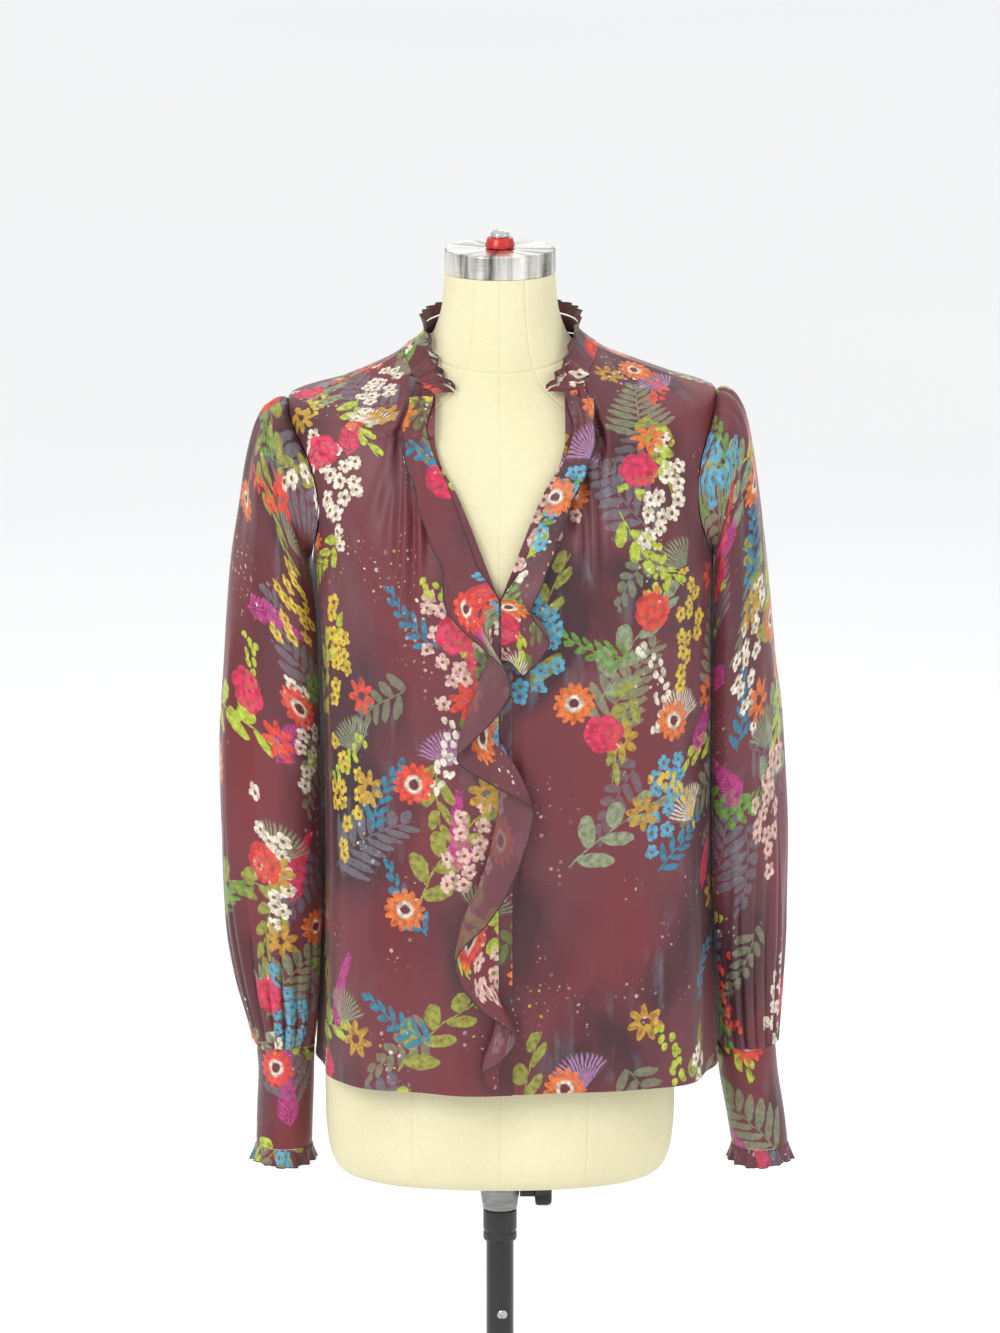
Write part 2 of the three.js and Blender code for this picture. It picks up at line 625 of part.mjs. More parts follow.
// The dress form: a smooth torso covered in cream canvas, closed below and on top.
const CREAM = 0xe9e2bd;
const TORSO_COLUMNS = 30;
const TORSO_BOTTOM = 500;
const TORSO = rows(["z", "half", "front", "back", "square", "drop", "rise"], [
  [500, 128, 76, 82, 2.3, 0, 0],
  [503, 141, 88, 93, 2.3, 0, 0],
  [512, 150, 97, 102, 2.3, 0, 0],
  [530, 155.5, 103, 108, 2.3, 0, 0],
  [560, 158, 105, 112, 2.3, 0, 0],
  [610, 158.5, 105, 114, 2.25, 0, 0],
  [680, 154, 103, 113, 2.2, 0, 0],
  [770, 134, 96, 98, 2.1, 0, 0],
  [870, 117, 90, 84, 2.1, 0, 0],
  [950, 125, 99, 88, 2.1, 0, 0],
  [1010, 137, 118, 96, 2.2, 0, 0],
  [1060, 148, 132, 102, 2.3, 0, 0],
  [1110, 155, 116, 105, 2.3, 0, 0],
  [1150, 164, 98, 103, 2.3, 0.04, 0],
  [1185, 175, 82, 93, 2.2, 0.12, 0.02],
  [1205, 180, 72, 82, 2.15, 0.2, 0.04],
  [1216, 164, 68, 77, 2.1, 0.26, 0.06],
  [1225, 142, 65, 74, 2.1, 0.3, 0.08],
  [1236, 112, 62, 70, 2.05, 0.32, 0.1],
  [1248, 86, 60, 65, 2.0, 0.32, 0.12],
  [1260, 69, 58, 60, 2.0, 0.3, 0.12],
  [1276, 58, 55, 55, 2.0, 0.2, 0.1],
  [1300, 51.5, 51, 51, 2.0, 0.06, 0.04],
  [1327.4, 49.2, 49.2, 49.2, 2.0, 0, 0],
]);

function torsoRing(z) {
  const level = along(TORSO, "z", z);
  const power = 2 / level.square;
  return Array.from({ length: TORSO_COLUMNS }, (_, j) => {
    const turn = (2 * Math.PI * j) / TORSO_COLUMNS;
    const sine = Math.sin(turn);
    const cosine = Math.cos(turn);
    const deep = cosine > 0 ? level.front : level.back;
    const reach = -Math.sign(cosine) * deep * Math.abs(cosine) ** power;
    const slope = cosine > 0 ? level.drop : level.rise;
    return new THREE.Vector3(Math.sign(sine) * level.half * Math.abs(sine) ** power, reach, z + slope * reach);
  });
}

add("torso", loft(TORSO.map((row) => torsoRing(row.z))), CREAM, 0.9);

// Turned pieces: a profile of radius and height, spun about the Z axis.
function turned(profile, sides) {
  const shape = new THREE.LatheGeometry(profile.map(([radius, z]) => new THREE.Vector2(radius, z)), sides);
  return shape.rotateX(Math.PI / 2);
}

const STEEL = 0xc9c9c6;
const CAP_BOTTOM = 1327.7;
const CAP_TOP = 1349;
const CAP_RADIUS = 49.5;
add(
  "neck_cap",
  turned([[0, CAP_BOTTOM], [CAP_RADIUS, CAP_BOTTOM], [CAP_RADIUS, CAP_TOP - 1], [CAP_RADIUS - 1, CAP_TOP], [0, CAP_TOP]], 40),
  STEEL,
  0.3,
  1,
);
const KNOB_BASE = CAP_TOP + SEAM;
add(
  "neck_knob",
  turned([[0, KNOB_BASE], [12.5, KNOB_BASE], [13.2, KNOB_BASE + 3], [11.4, KNOB_BASE + 9], [0, KNOB_BASE + 9.5]], 24),
  0xd8291f,
  0.35,
);
add(
  "knob_nut",
  turned([
    [0, KNOB_BASE + 9.8], [8.5, KNOB_BASE + 9.8], [8.5, KNOB_BASE + 13], [6.5, KNOB_BASE + 15.5], [0, KNOB_BASE + 16.5],
  ], 16),
  STEEL,
  0.25,
  1,
);

// The mast slides in the pole, and the form's socket turns on the mast's top. Facets cut a little off
// a circle, so a bore is wider than the tube in it by more than the play.
const PLAY = 0.35;
const TUBE_SIDES = 28;
const POLE_RADIUS = 12.4;
const MAST_RADIUS = 9.4;
const BORE_RADIUS = (MAST_RADIUS + PLAY) / Math.cos(Math.PI / TUBE_SIDES);
const BLACK = 0x1d1d1f;

const SOCKET_BOTTOM = 463.3;
const SOCKET_TOP = TORSO_BOTTOM - SEAM;
const FLANGE_RADIUS = 34;
add(
  "socket",
  turned([
    [BORE_RADIUS, SOCKET_BOTTOM], [15.2, SOCKET_BOTTOM], [17.5, SOCKET_BOTTOM + 14], [19, SOCKET_TOP - 8],
    [FLANGE_RADIUS, SOCKET_TOP - 5], [FLANGE_RADIUS, SOCKET_TOP], [BORE_RADIUS, SOCKET_TOP],
    [BORE_RADIUS, SOCKET_BOTTOM],
  ], TUBE_SIDES),
  0x9a9a98,
  0.45,
  1,
);

// The clamp's knob has five lobes on a stem that presses on the mast through the socket's wall.
const CLAMP_HEIGHT = 478;
const CLAMP_START = 18.1;
const CLAMP_LOBES = 5;
const CLAMP = rows(["x", "radius", "lobe"], [
  [0, 4, 0],
  [13, 4, 0],
  [14, 10.5, 1.2],
  [17, 12, 1.8],
  [26, 12, 1.8],
  [29, 9.5, 1.2],
]);
const clampRings = CLAMP.map((row) =>
  spread(0, 360, 20).slice(1).map((turn) => {
    const radius = row.radius + row.lobe * Math.cos(CLAMP_LOBES * turn * DEG);
    return new THREE.Vector3(row.x, radius * Math.cos(turn * DEG), radius * Math.sin(turn * DEG));
  }),
);
add("clamp_knob", loft(clampRings), BLACK, 0.4).position.set(CLAMP_START, 0, CLAMP_HEIGHT);

const MAST_BOTTOM = 60;
const MAST_TOP = SOCKET_TOP - SEAM;
add(
  "mast",
  turned([[0, MAST_BOTTOM], [MAST_RADIUS, MAST_BOTTOM], [MAST_RADIUS, MAST_TOP], [0, MAST_TOP]], TUBE_SIDES),
  STEEL,
  0.25,
  1,
);

const POLE_BOTTOM = 14.3;
const POLE_TOP = 463;
const BORE_BOTTOM = 40;
add(
  "pole",
  turned([
    [0, POLE_BOTTOM], [POLE_RADIUS, POLE_BOTTOM], [POLE_RADIUS, POLE_TOP], [BORE_RADIUS, POLE_TOP],
    [BORE_RADIUS, BORE_BOTTOM], [0, BORE_BOTTOM],
  ], TUBE_SIDES),
  BLACK,
  0.35,
  0.6,
);
const COLLAR_BOTTOM = 434;
const COLLAR_BORE = POLE_RADIUS / Math.cos(Math.PI / TUBE_SIDES) + SEAM;
add(
  "pole_collar",
  turned([
    [COLLAR_BORE, COLLAR_BOTTOM], [14.4, COLLAR_BOTTOM], [15.3, COLLAR_BOTTOM + 2], [15.3, POLE_TOP],
    [COLLAR_BORE, POLE_TOP], [COLLAR_BORE, COLLAR_BOTTOM],
  ], TUBE_SIDES),
  0x141415,
  0.4,
);
const screw = turned([[0, 0], [4.6, 0], [4.2, 1.2], [2, 2], [0, 2]], 14);
screw.rotateX(Math.PI / 2);
const SCREW_HEIGHT = 366;
add("pole_screw", screw, STEEL, 0.3, 1).position.set(2, -POLE_RADIUS - SEAM, SCREW_HEIGHT);

const BASE_RADIUS = 190;
add(
  "base",
  turned([
    [0, 0], [BASE_RADIUS - 2, 0], [BASE_RADIUS, 2], [BASE_RADIUS, 6], [BASE_RADIUS - 4, 9], [60, 10], [30, 12],
    [24, 14], [0, 14],
  ], 36),
  0x232325,
  0.5,
  0.5,
);

export default part;
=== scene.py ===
import math

import bmesh
import bpy
import numpy as np
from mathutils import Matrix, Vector


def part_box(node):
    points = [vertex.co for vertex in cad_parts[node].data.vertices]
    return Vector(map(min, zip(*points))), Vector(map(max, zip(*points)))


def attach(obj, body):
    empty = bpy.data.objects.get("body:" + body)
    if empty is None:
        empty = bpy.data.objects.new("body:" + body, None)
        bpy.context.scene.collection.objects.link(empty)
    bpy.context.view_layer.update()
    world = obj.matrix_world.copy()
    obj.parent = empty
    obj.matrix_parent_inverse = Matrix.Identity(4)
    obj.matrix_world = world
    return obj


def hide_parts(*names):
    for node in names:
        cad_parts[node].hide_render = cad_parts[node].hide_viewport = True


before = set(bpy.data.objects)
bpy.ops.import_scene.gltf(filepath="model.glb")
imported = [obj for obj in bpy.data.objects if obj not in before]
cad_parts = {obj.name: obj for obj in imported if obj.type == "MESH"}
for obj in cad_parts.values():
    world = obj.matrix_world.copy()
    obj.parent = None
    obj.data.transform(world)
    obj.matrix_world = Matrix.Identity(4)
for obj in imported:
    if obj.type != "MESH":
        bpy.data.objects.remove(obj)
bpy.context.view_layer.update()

# The studio: a pale floor without a visible end, white light from everywhere, a large soft light high at
# the left and a weaker one at the right, and the photograph's camera, a long lens a little above the neck
# that looks down at the blouse.
FLOOR_RADIUS = 60.0
LOOK_AT = Vector((0.0, 0.0, 0.9671))
LOOK_DOWN = math.radians(12)
DISTANCE = 9.0
SEEN_HEIGHT = 1.1997
SENSOR = 24.0


class Finish:
    """A material made of nodes. Each call adds a node and gives its output, which the next call takes."""

    def __init__(self, name, roughness=0.5, metallic=0.0, **sockets):
        self.material = bpy.data.materials.new(name)
        self.material.use_nodes = True
        self.tree = self.material.node_tree
        self.shader = self.tree.nodes["Principled BSDF"]
        self.shader.inputs["Roughness"].default_value = roughness
        self.shader.inputs["Metallic"].default_value = metallic
        for key, value in sockets.items():
            self.shader.inputs[key.replace("_", " ")].default_value = value

    def node(self, kind, inputs=None, **settings):
        made = self.tree.nodes.new("ShaderNode" + kind)
        for key, value in settings.items():
            setattr(made, key, value)
        for key, value in (inputs or {}).items():
            self.feed(made.inputs[key], value)
        return made

    def feed(self, socket, value):
        if isinstance(value, Field):
            value = value.socket
        if isinstance(value, bpy.types.NodeSocket):
            self.tree.links.new(value, socket)
        else:
            socket.default_value = value

    def math(self, operation, *values, clamp=False):
        made = self.node("Math", dict(enumerate(values)), operation=operation, use_clamp=clamp)
        return Field(self, made.outputs[0])

    def vector(self, x, y, z=0.0):
        return self.node("CombineXYZ", {0: x, 1: y, 2: z}).outputs[0]

    def parts(self, value, kind="SeparateXYZ"):
        """The three numbers of a vector or a colour, as fields."""
        return [Field(self, output) for output in self.node(kind, {0: value}).outputs]

    def noise(self, at, scale, detail=2.0, roughness=0.5):
        inputs = {"Vector": at, "Scale": scale, "Detail": detail, "Roughness": roughness}
        return self.node("TexNoise", inputs)

    def level(self, at, scale, detail=2.0):
        """Smooth noise round 0.5, as a field."""
        return Field(self, self.noise(at, scale, detail).outputs["Fac"])

    def mixed(self, share, first, second):
        return self.node("Mix", {"Factor": share, 6: first, 7: second}, data_type="RGBA").outputs[2]

    def ramp(self, share, *stops):
        made = self.node("ValToRGB", {"Fac": share})
        for i, (place, color) in enumerate(stops):
            stop = made.color_ramp.elements[i] if i < 2 else made.color_ramp.elements.new(place)
            stop.position = place
            stop.color = color
        return made.outputs["Color"]

    def bump(self, height, distance, strength=1.0):
        made = self.node("Bump", {"Height": height, "Distance": distance, "Strength": strength})
        self.feed(self.shader.inputs["Normal"], made.outputs["Normal"])

    def color(self, value):
        self.feed(self.shader.inputs["Base Color"], value)


class Field:
    """A number that nodes work out at each point of a surface. Sums and products of fields are fields."""

    def __init__(self, finish, socket):
        self.finish = finish
        self.socket = socket

    def __add__(self, other):
        return self.finish.math("ADD", self, other)

    def __sub__(self, other):
        return self.finish.math("SUBTRACT", self, other)

    def __rsub__(self, other):
        return self.finish.math("SUBTRACT", other, self)

    def __mul__(self, other):
        return self.finish.math("MULTIPLY", self, other)

    def __truediv__(self, other):
        return self.finish.math("DIVIDE", self, other)

    def __abs__(self):
        return self.finish.math("ABSOLUTE", self)

    def over(self, other):
        return self.finish.math("GREATER_THAN", self, other)

    def apply(self, operation, *others):
        return self.finish.math(operation, self, *others)

    def step(self, softness):
        """0 below zero and 1 above it, with a soft edge."""
        return self.finish.math("MULTIPLY_ADD", self, 1 / softness, 0.5, clamp=True)


def rgb(code):
    """A colour of the linear kind that shaders take, from its web code."""
    parts = [int(code[i:i + 2], 16) / 255 for i in (1, 3, 5)]
    linear = [part / 12.92 if part <= 0.04045 else ((part + 0.055) / 1.055) ** 2.4 for part in parts]
    return (*linear, 1.0)


floor_finish = Finish("studio floor", roughness=0.8)
floor_place = floor_finish.node("TexCoord").outputs["Object"]
floor_tone = floor_finish.level(floor_place, 0.4)
floor_finish.color(floor_finish.ramp(floor_tone, (0.3, rgb("#f3f3f4")), (0.7, rgb("#f6f6f6"))))
bpy.ops.mesh.primitive_circle_add(vertices=96, radius=FLOOR_RADIUS, fill_type="NGON")
floor = bpy.context.object
floor.name = "studio_floor"
floor.data.materials.append(floor_finish.material)

world = bpy.data.worlds.new("studio")
world.use_nodes = True
sky_nodes = world.node_tree
sky_place = sky_nodes.nodes.new("ShaderNodeTexCoord")
sky_parts = sky_nodes.nodes.new("ShaderNodeSeparateXYZ")
sky = sky_nodes.nodes.new("ShaderNodeValToRGB")
for stop, place, tone in zip(sky.color_ramp.elements, (0.0, 0.8), (0.5, 1.0)):
    stop.position = place
    stop.color = (tone, tone * 1.005, tone * 1.01, 1.0)
sky_nodes.links.new(sky_place.outputs["Generated"], sky_parts.inputs[0])
sky_nodes.links.new(sky_parts.outputs[2], sky.inputs["Fac"])
sky_nodes.links.new(sky.outputs["Color"], sky_nodes.nodes["Background"].inputs["Color"])
sky_nodes.nodes["Background"].inputs["Strength"].default_value = 1.1
bpy.context.scene.world = world
bpy.context.scene.view_settings.view_transform = "Standard"


def soft_light(name, place, size, power):
    lamp = bpy.data.lights.new(name, "AREA")
    lamp.shape = "SQUARE"
    lamp.size = size
    lamp.energy = power
    light = bpy.data.objects.new(name, lamp)
    light.location = place
    light.rotation_euler = (LOOK_AT - light.location).to_track_quat("-Z", "Y").to_euler()
    bpy.context.scene.collection.objects.link(light)


soft_light("key_light", Vector((-2.6, -3.6, 3.6)), 2.2, 88.0)
soft_light("fill_light", Vector((3.6, -2.2, 2.0)), 2.4, 16.0)
soft_light("back_light", Vector((0.8, 3.8, 3.4)), 2.4, 24.0)

lens = bpy.data.cameras.new("camera")
lens.sensor_width = SENSOR
lens.lens = SENSOR * DISTANCE / SEEN_HEIGHT
lens.clip_end = 200.0
camera = bpy.data.objects.new("camera", lens)
camera.location = LOOK_AT + DISTANCE * Vector((0.0, -math.cos(LOOK_DOWN), math.sin(LOOK_DOWN)))
camera.rotation_euler = (LOOK_AT - camera.location).to_track_quat("-Z", "Y").to_euler()
bpy.context.scene.collection.objects.link(camera)
bpy.context.scene.camera = camera

# The stand's base, a heavy cast disc with a low boss for the pole, black enamel over a slightly rough
# casting. It rests on the floor.
MM = 0.001
TURNED_SIDES = 96


def made_piece(name, points, faces, finish, body, slot, replaced=(), smooth=40.0):
    """A mesh object of a piece, in metres, that rides on a body and stands for its nodes."""
    mesh = bpy.data.meshes.new(name)
    mesh.from_pydata([tuple(p) for p in points], [], [tuple(f) for f in faces])
    mesh.update()
    work = bmesh.new()
    work.from_mesh(mesh)
    bmesh.ops.recalc_face_normals(work, faces=work.faces)
    work.to_mesh(mesh)
    work.free()
    mesh.shade_smooth()
    mesh.set_sharp_from_angle(angle=math.radians(smooth))
    mesh.materials.append(finish.material)
    piece = bpy.data.objects.new(name, mesh)
    bpy.context.scene.collection.objects.link(piece)
    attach(piece, body)
    if replaced:
        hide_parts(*replaced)
    return piece


def turned(profile, sides=TURNED_SIDES):
    """Points and faces of a profile of radius and height in mm, spun about the stand's axis."""
    points = []
    rings = []
    for radius, height in profile:
        if radius == 0:
            rings.append([len(points)] * sides)
            points.append((0.0, 0.0, height * MM))
            continue
        rings.append(list(range(len(points), len(points) + sides)))
        for i in range(sides):
            turn = 2 * math.pi * i / sides
            points.append((radius * MM * math.cos(turn), radius * MM * math.sin(turn), height * MM))
    faces = []
    for low, high in zip(rings, rings[1:]):
        for i in range(sides):
            corners = [low[i], low[(i + 1) % sides], high[(i + 1) % sides], high[i]]
            face = list(dict.fromkeys(corners))
            if len(face) > 2:
                faces.append(face)
    return points, faces


def rounded(profile, radius=0.6, steps=3):
    """The profile with each of its corners off the axis rounded."""
    made = [profile[0]]
    for before, corner, after in zip(profile, profile[1:], profile[2:]):
        corner_at = Vector(corner)
        back = Vector(before) - corner_at
        on = Vector(after) - corner_at
        reach = min(radius, back.length * 0.45, on.length * 0.45)
        start = corner_at + back.normalized() * reach
        end = corner_at + on.normalized() * reach
        for i in range(steps + 1):
            share = i / steps
            made.append(tuple(start.lerp(corner_at, share).lerp(corner_at.lerp(end, share), share)))
    return [*made, profile[-1]]


def enamel(name, color, roughness, grain, depth):
    """Paint over a casting: a little uneven in tone, with a fine orange peel."""
    finish = Finish(name, roughness=roughness, Coat_Weight=0.25, Coat_Roughness=0.2)
    place = finish.node("TexCoord").outputs["Object"]
    tone = finish.level(place, grain * 0.1, 4.0)
    dark = [channel * 0.8 for channel in rgb(color)[:3]] + [1.0]
    finish.color(finish.ramp(tone, (0.35, tuple(dark)), (0.7, rgb(color))))
    finish.bump(finish.level(place, grain, 3.0), depth)
    return finish


base_finish = enamel("black enamel over a casting", "#2a2a2d", 0.42, 700.0, 0.00012)
BASE = [
    (0, 0), (186, 0), (189, 1.2), (190, 3), (190, 6), (187.5, 8.4), (184, 9), (120, 9.6), (62, 10.2),
    (58, 10.9), (34, 11.6), (30, 12.4), (26, 13.6), (24, 14), (0, 14),
]
made_piece("stand_base", *turned(rounded(BASE)), base_finish, "stand", "black_metal", ["base"])

# The pole, a black steel tube, with a moulded collar round its top that guides the mast, and the small
# screw below the collar. The bright mast slides up and down in the pole.
POLE_RADIUS = 12.4
MAST_RADIUS = 9.4
PLAY = 0.35
BORE_RADIUS = MAST_RADIUS + PLAY
BORE_FLOOR = 40
COLLAR_BORE = POLE_RADIUS + 0.1


def heights(node):
    """The lowest and highest place of a node of the solid part, in mm."""
    return [corner.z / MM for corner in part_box(node)]


pole_bottom, pole_top = heights("pole")
mast_bottom, mast_top = heights("mast")
collar_bottom, collar_top = heights("pole_collar")

pole_finish = enamel("black enamel on tube", "#17171a", 0.3, 900.0, 0.00004)
POLE = [
    (0, pole_bottom), (POLE_RADIUS, pole_bottom), (POLE_RADIUS, pole_top), (BORE_RADIUS, pole_top),
    (BORE_RADIUS, BORE_FLOOR), (0, BORE_FLOOR),
]
made_piece("stand_pole", *turned(rounded(POLE, 0.5)), pole_finish, "stand", "black_metal", ["pole"])

moulded_finish = enamel("moulded black plastic", "#1b1b1d", 0.45, 1400.0, 0.00006)
COLLAR = [
    (COLLAR_BORE, collar_bottom), (14.3, collar_bottom), (15.3, collar_bottom + 2),
    (15.3, collar_bottom + 7), (14.7, collar_bottom + 8), (14.7, collar_bottom + 10),
    (15.3, collar_bottom + 11), (15.3, collar_top - 1.4), (14.4, collar_top), (COLLAR_BORE, collar_top),
    (COLLAR_BORE, collar_bottom),
]
made_piece(
    "stand_collar", *turned(rounded(COLLAR, 0.4)), moulded_finish, "stand", "black_plastic", ["pole_collar"]
)


def bright_metal(name, color, roughness, scratch):
    """Bare metal with fine scratches that run round it."""
    finish = Finish(name, roughness=roughness, metallic=1.0)
    x, y, z = finish.parts(finish.node("TexCoord").outputs["Object"])
    scratches = finish.level(finish.vector(x * 0.15, y * 0.15, z), scratch, 5.0)
    dark = [channel * 0.72 for channel in rgb(color)[:3]] + [1.0]
    finish.color(finish.ramp(scratches, (0.35, tuple(dark)), (0.62, rgb(color))))
    finish.bump(scratches, 0.00002)
    return finish


mast_finish = bright_metal("drawn bright steel", "#d6d6d4", 0.2, 1500.0)
MAST = [(0, mast_bottom), (MAST_RADIUS, mast_bottom), (MAST_RADIUS, mast_top), (0, mast_top)]
made_piece("mast_tube", *turned(rounded(MAST, 0.8)), mast_finish, "mast", "bright_steel", ["mast"])

# A domed screw with a cross slot, set into the pole's front.
screw_low, screw_high = (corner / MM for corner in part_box("pole_screw"))
SCREW = [(0, 0), (4.6, 0), (4.6, 0.5), (4.1, 1.2), (3.2, 1.7), (1.8, 2.0), (0, 2.0)]
points, faces = turned(SCREW, 48)
screw_middle = (screw_low + screw_high) / 2
SLOT = 0.55
SLOT_REACH = 3.0
SLOT_DEPTH = 0.9
HEAD_EDGE = 1.0
placed = []
for x, y, z in points:
    on_head = math.hypot(x, y) < SLOT_REACH * MM and z > HEAD_EDGE * MM
    in_slot = on_head and min(abs(x), abs(y)) < SLOT * MM
    sunk = SLOT_DEPTH * MM if in_slot else 0.0
    placed.append((screw_middle.x * MM + x, screw_high.y * MM - z + sunk, screw_middle.z * MM + y))
screw_finish = bright_metal("plated screw", "#cfcfcc", 0.25, 2000.0)
made_piece("stand_screw", placed, faces, screw_finish, "stand", "bright_steel", ["pole_screw"])

# The form: a torso of board and foam, covered in cream canvas that is cut in eight panels and glued down.
# Its seams lie in shallow grooves: down the middles, the sides and the princess lines, and round the neck.


def table(columns, lines):
    """A table with named columns. Its first column is the place that the rows belong to."""
    values = np.array(lines, float)
    return {name: values[:, i] for i, name in enumerate(columns.split())}


def along(rows, place):
    """A table's columns at places of its first column, on curves that never overshoot between rows."""
    names = list(rows)
    stops = rows[names[0]]
    place = np.clip(np.asarray(place, float), stops[0], stops[-1])
    i = np.clip(np.searchsorted(stops, place, side="right") - 1, 0, len(stops) - 2)
    span = stops[i + 1] - stops[i]
    u = (place - stops[i]) / span
    found = {}
    for name in names:
        value = rows[name]
        slope = np.diff(value) / np.diff(stops)
        before, after = slope[:-1], slope[1:]
        same = before * after > 0
        bend = np.where(same, 2 * before * after / np.where(same, before + after, 1), 0)
        bend = np.concatenate([slope[:1], bend, slope[-1:]])
        first, second = value[i], value[i + 1]
        lean = (1 - u) * bend[i] - u * bend[i + 1]
        found[name] = first + (second - first) * u * u * (3 - 2 * u) + span * u * (1 - u) * lean
    return found


def ease(low, high, x):
    """0 at low and beyond it, 1 at high, with a soft start and end."""
    t = np.clip((np.asarray(x, float) - low) / (high - low), 0, 1)
    return t * t * (3 - 2 * t)


def bell(off, width):
    """1 in the middle of a seam or fold, fading to 0 a few widths off."""
    return np.exp(-((off / width) ** 2))


def tube_faces(rings, wide, closed=False):
    """Faces between rings of points, with both ends shut unless the last ring meets the first."""
    faces = []
    for i in range(rings if closed else rings - 1):
        on = ((i + 1) % rings - i) * wide
        for j in range(wide):
            a, b = i * wide + j, i * wide + (j + 1) % wide
            faces.append((a, b, b + on, a + on))
    if not closed:
        faces.append(tuple(range(wide))[::-1])
        faces.append(tuple(range((rings - 1) * wide, rings * wide)))
    return faces


TORSO = table("z half front back square drop rise", [
    [500, 128, 76, 82, 2.3, 0, 0],
    [503, 141, 88, 93, 2.3, 0, 0],
    [512, 150, 97, 102, 2.3, 0, 0],
    [530, 155.5, 103, 108, 2.3, 0, 0],
    [560, 158, 105, 112, 2.3, 0, 0],
    [610, 158.5, 105, 114, 2.25, 0, 0],
    [680, 154, 103, 113, 2.2, 0, 0],
    [770, 134, 96, 98, 2.1, 0, 0],
    [870, 117, 90, 84, 2.1, 0, 0],
    [950, 125, 99, 88, 2.1, 0, 0],
    [1010, 137, 118, 96, 2.2, 0, 0],
    [1060, 148, 132, 102, 2.3, 0, 0],
    [1110, 155, 116, 105, 2.3, 0, 0],
    [1150, 164, 98, 103, 2.3, 0.04, 0],
    [1185, 175, 82, 93, 2.2, 0.12, 0.02],
    [1205, 180, 72, 82, 2.15, 0.2, 0.04],
    [1216, 164, 68, 77, 2.1, 0.26, 0.06],
    [1225, 142, 65, 74, 2.1, 0.3, 0.08],
    [1236, 112, 62, 70, 2.05, 0.32, 0.1],
    [1248, 86, 60, 65, 2.0, 0.32, 0.12],
    [1260, 69, 58, 60, 2.0, 0.3, 0.12],
    [1276, 58, 55, 55, 2.0, 0.2, 0.1],
    [1300, 51.5, 51, 51, 2.0, 0.06, 0.04],
    [1327.4, 49.2, 49.2, 49.2, 2.0, 0, 0],
])
NECK_SEAM = 1262
PANEL_SEAMS = [0, 27, 90, 153, 180, 207, 270, 333]
SEAM_DEPTH = 0.8
SEAM_WIDTH = 0.8
NEAR_SEAM = [0, 0.5, 1.0, 1.7, 2.8]


def superellipse(turn, level):
    """X and y on a flat ring of the torso. Its turn is 0 in front and 90 at the wearer's left."""
    sine, cosine = np.sin(np.radians(turn)), np.cos(np.radians(turn))
    power = 2 / level["square"]
    deep = np.where(cosine > 0, level["front"], level["back"])
    return (
        np.sign(sine) * level["half"] * np.abs(sine) ** power,
        -np.sign(cosine) * deep * np.abs(cosine) ** power,
    )


def close_to(seam):
    """Turns at a few millimetres each side of a seam."""
    if seam % 90:
        steps = [gap * 0.45 for gap in NEAR_SEAM]
    else:
        steps = [math.degrees(math.asin((gap / 130) ** 1.1)) for gap in NEAR_SEAM]
    return [seam + side * step for step in steps for side in (-1, 1)]


turns = set(np.round(np.linspace(0, 360, 144, endpoint=False), 4))
for seam in PANEL_SEAMS:
    turns -= {turn for turn in turns if abs((turn - seam + 180) % 360 - 180) < 1.6}
    turns |= {round(turn % 360, 4) for turn in close_to(seam)}
turns = np.array(sorted(turns))
levels = set(np.round(np.concatenate([np.linspace(500, 530, 16), np.linspace(536, 1327.4, 118)]), 4))
levels = {z for z in levels if abs(z - NECK_SEAM) > 3.2}
levels |= {NECK_SEAM + side * gap for gap in NEAR_SEAM for side in (-1, 1)}
levels = np.array(sorted(levels))

turn, z = np.meshgrid(turns, levels)
level = along(TORSO, z)
x, y = superellipse(turn, level)
groove = np.zeros(z.shape)
for seam in PANEL_SEAMS:
    seam_x, seam_y = superellipse(np.full(z.shape, float(seam)), level)
    off = np.hypot(x - seam_x, y - seam_y)
    groove = np.maximum(groove, bell(off, SEAM_WIDTH) * ease(500, 504, z))
groove = np.maximum(groove, bell(z - NECK_SEAM, SEAM_WIDTH))
inward = np.stack([x / level["half"] ** 2, y / level["front"] ** 2], -1)
inward /= np.linalg.norm(inward, axis=-1, keepdims=True)
x = x - inward[..., 0] * SEAM_DEPTH * groove
y = y - inward[..., 1] * SEAM_DEPTH * groove
z = z + np.where(y < 0, level["drop"], level["rise"]) * y
points = np.stack([x, y, z], -1).reshape(-1, 3) * MM
faces = tube_faces(len(levels), len(turns))

canvas = Finish(
    "cream canvas", roughness=0.88, Specular_IOR_Level=0.2, Sheen_Weight=0.15, Sheen_Roughness=0.6,
)
place = canvas.node("TexCoord").outputs["Object"]
px, py, pz = canvas.parts(place)
warp_threads = canvas.level(canvas.vector(px * 1900.0, py * 1900.0, pz * 160.0), 1.0, 2.0)
weft_threads = canvas.level(canvas.vector(px * 160.0, py * 160.0, pz * 1900.0), 1.0, 2.0)
weave = warp_threads + weft_threads
tone = canvas.level(place, 9.0, 4.0) * 0.5 + weave * 0.25
canvas.color(canvas.ramp(tone, (0.38, rgb("#e3dbb1")), (0.62, rgb("#efe8c2"))))
canvas.bump(weave, 0.00018)
made_piece("form_torso", points, faces, canvas, "form", "cream_canvas", ["torso"], smooth=50)

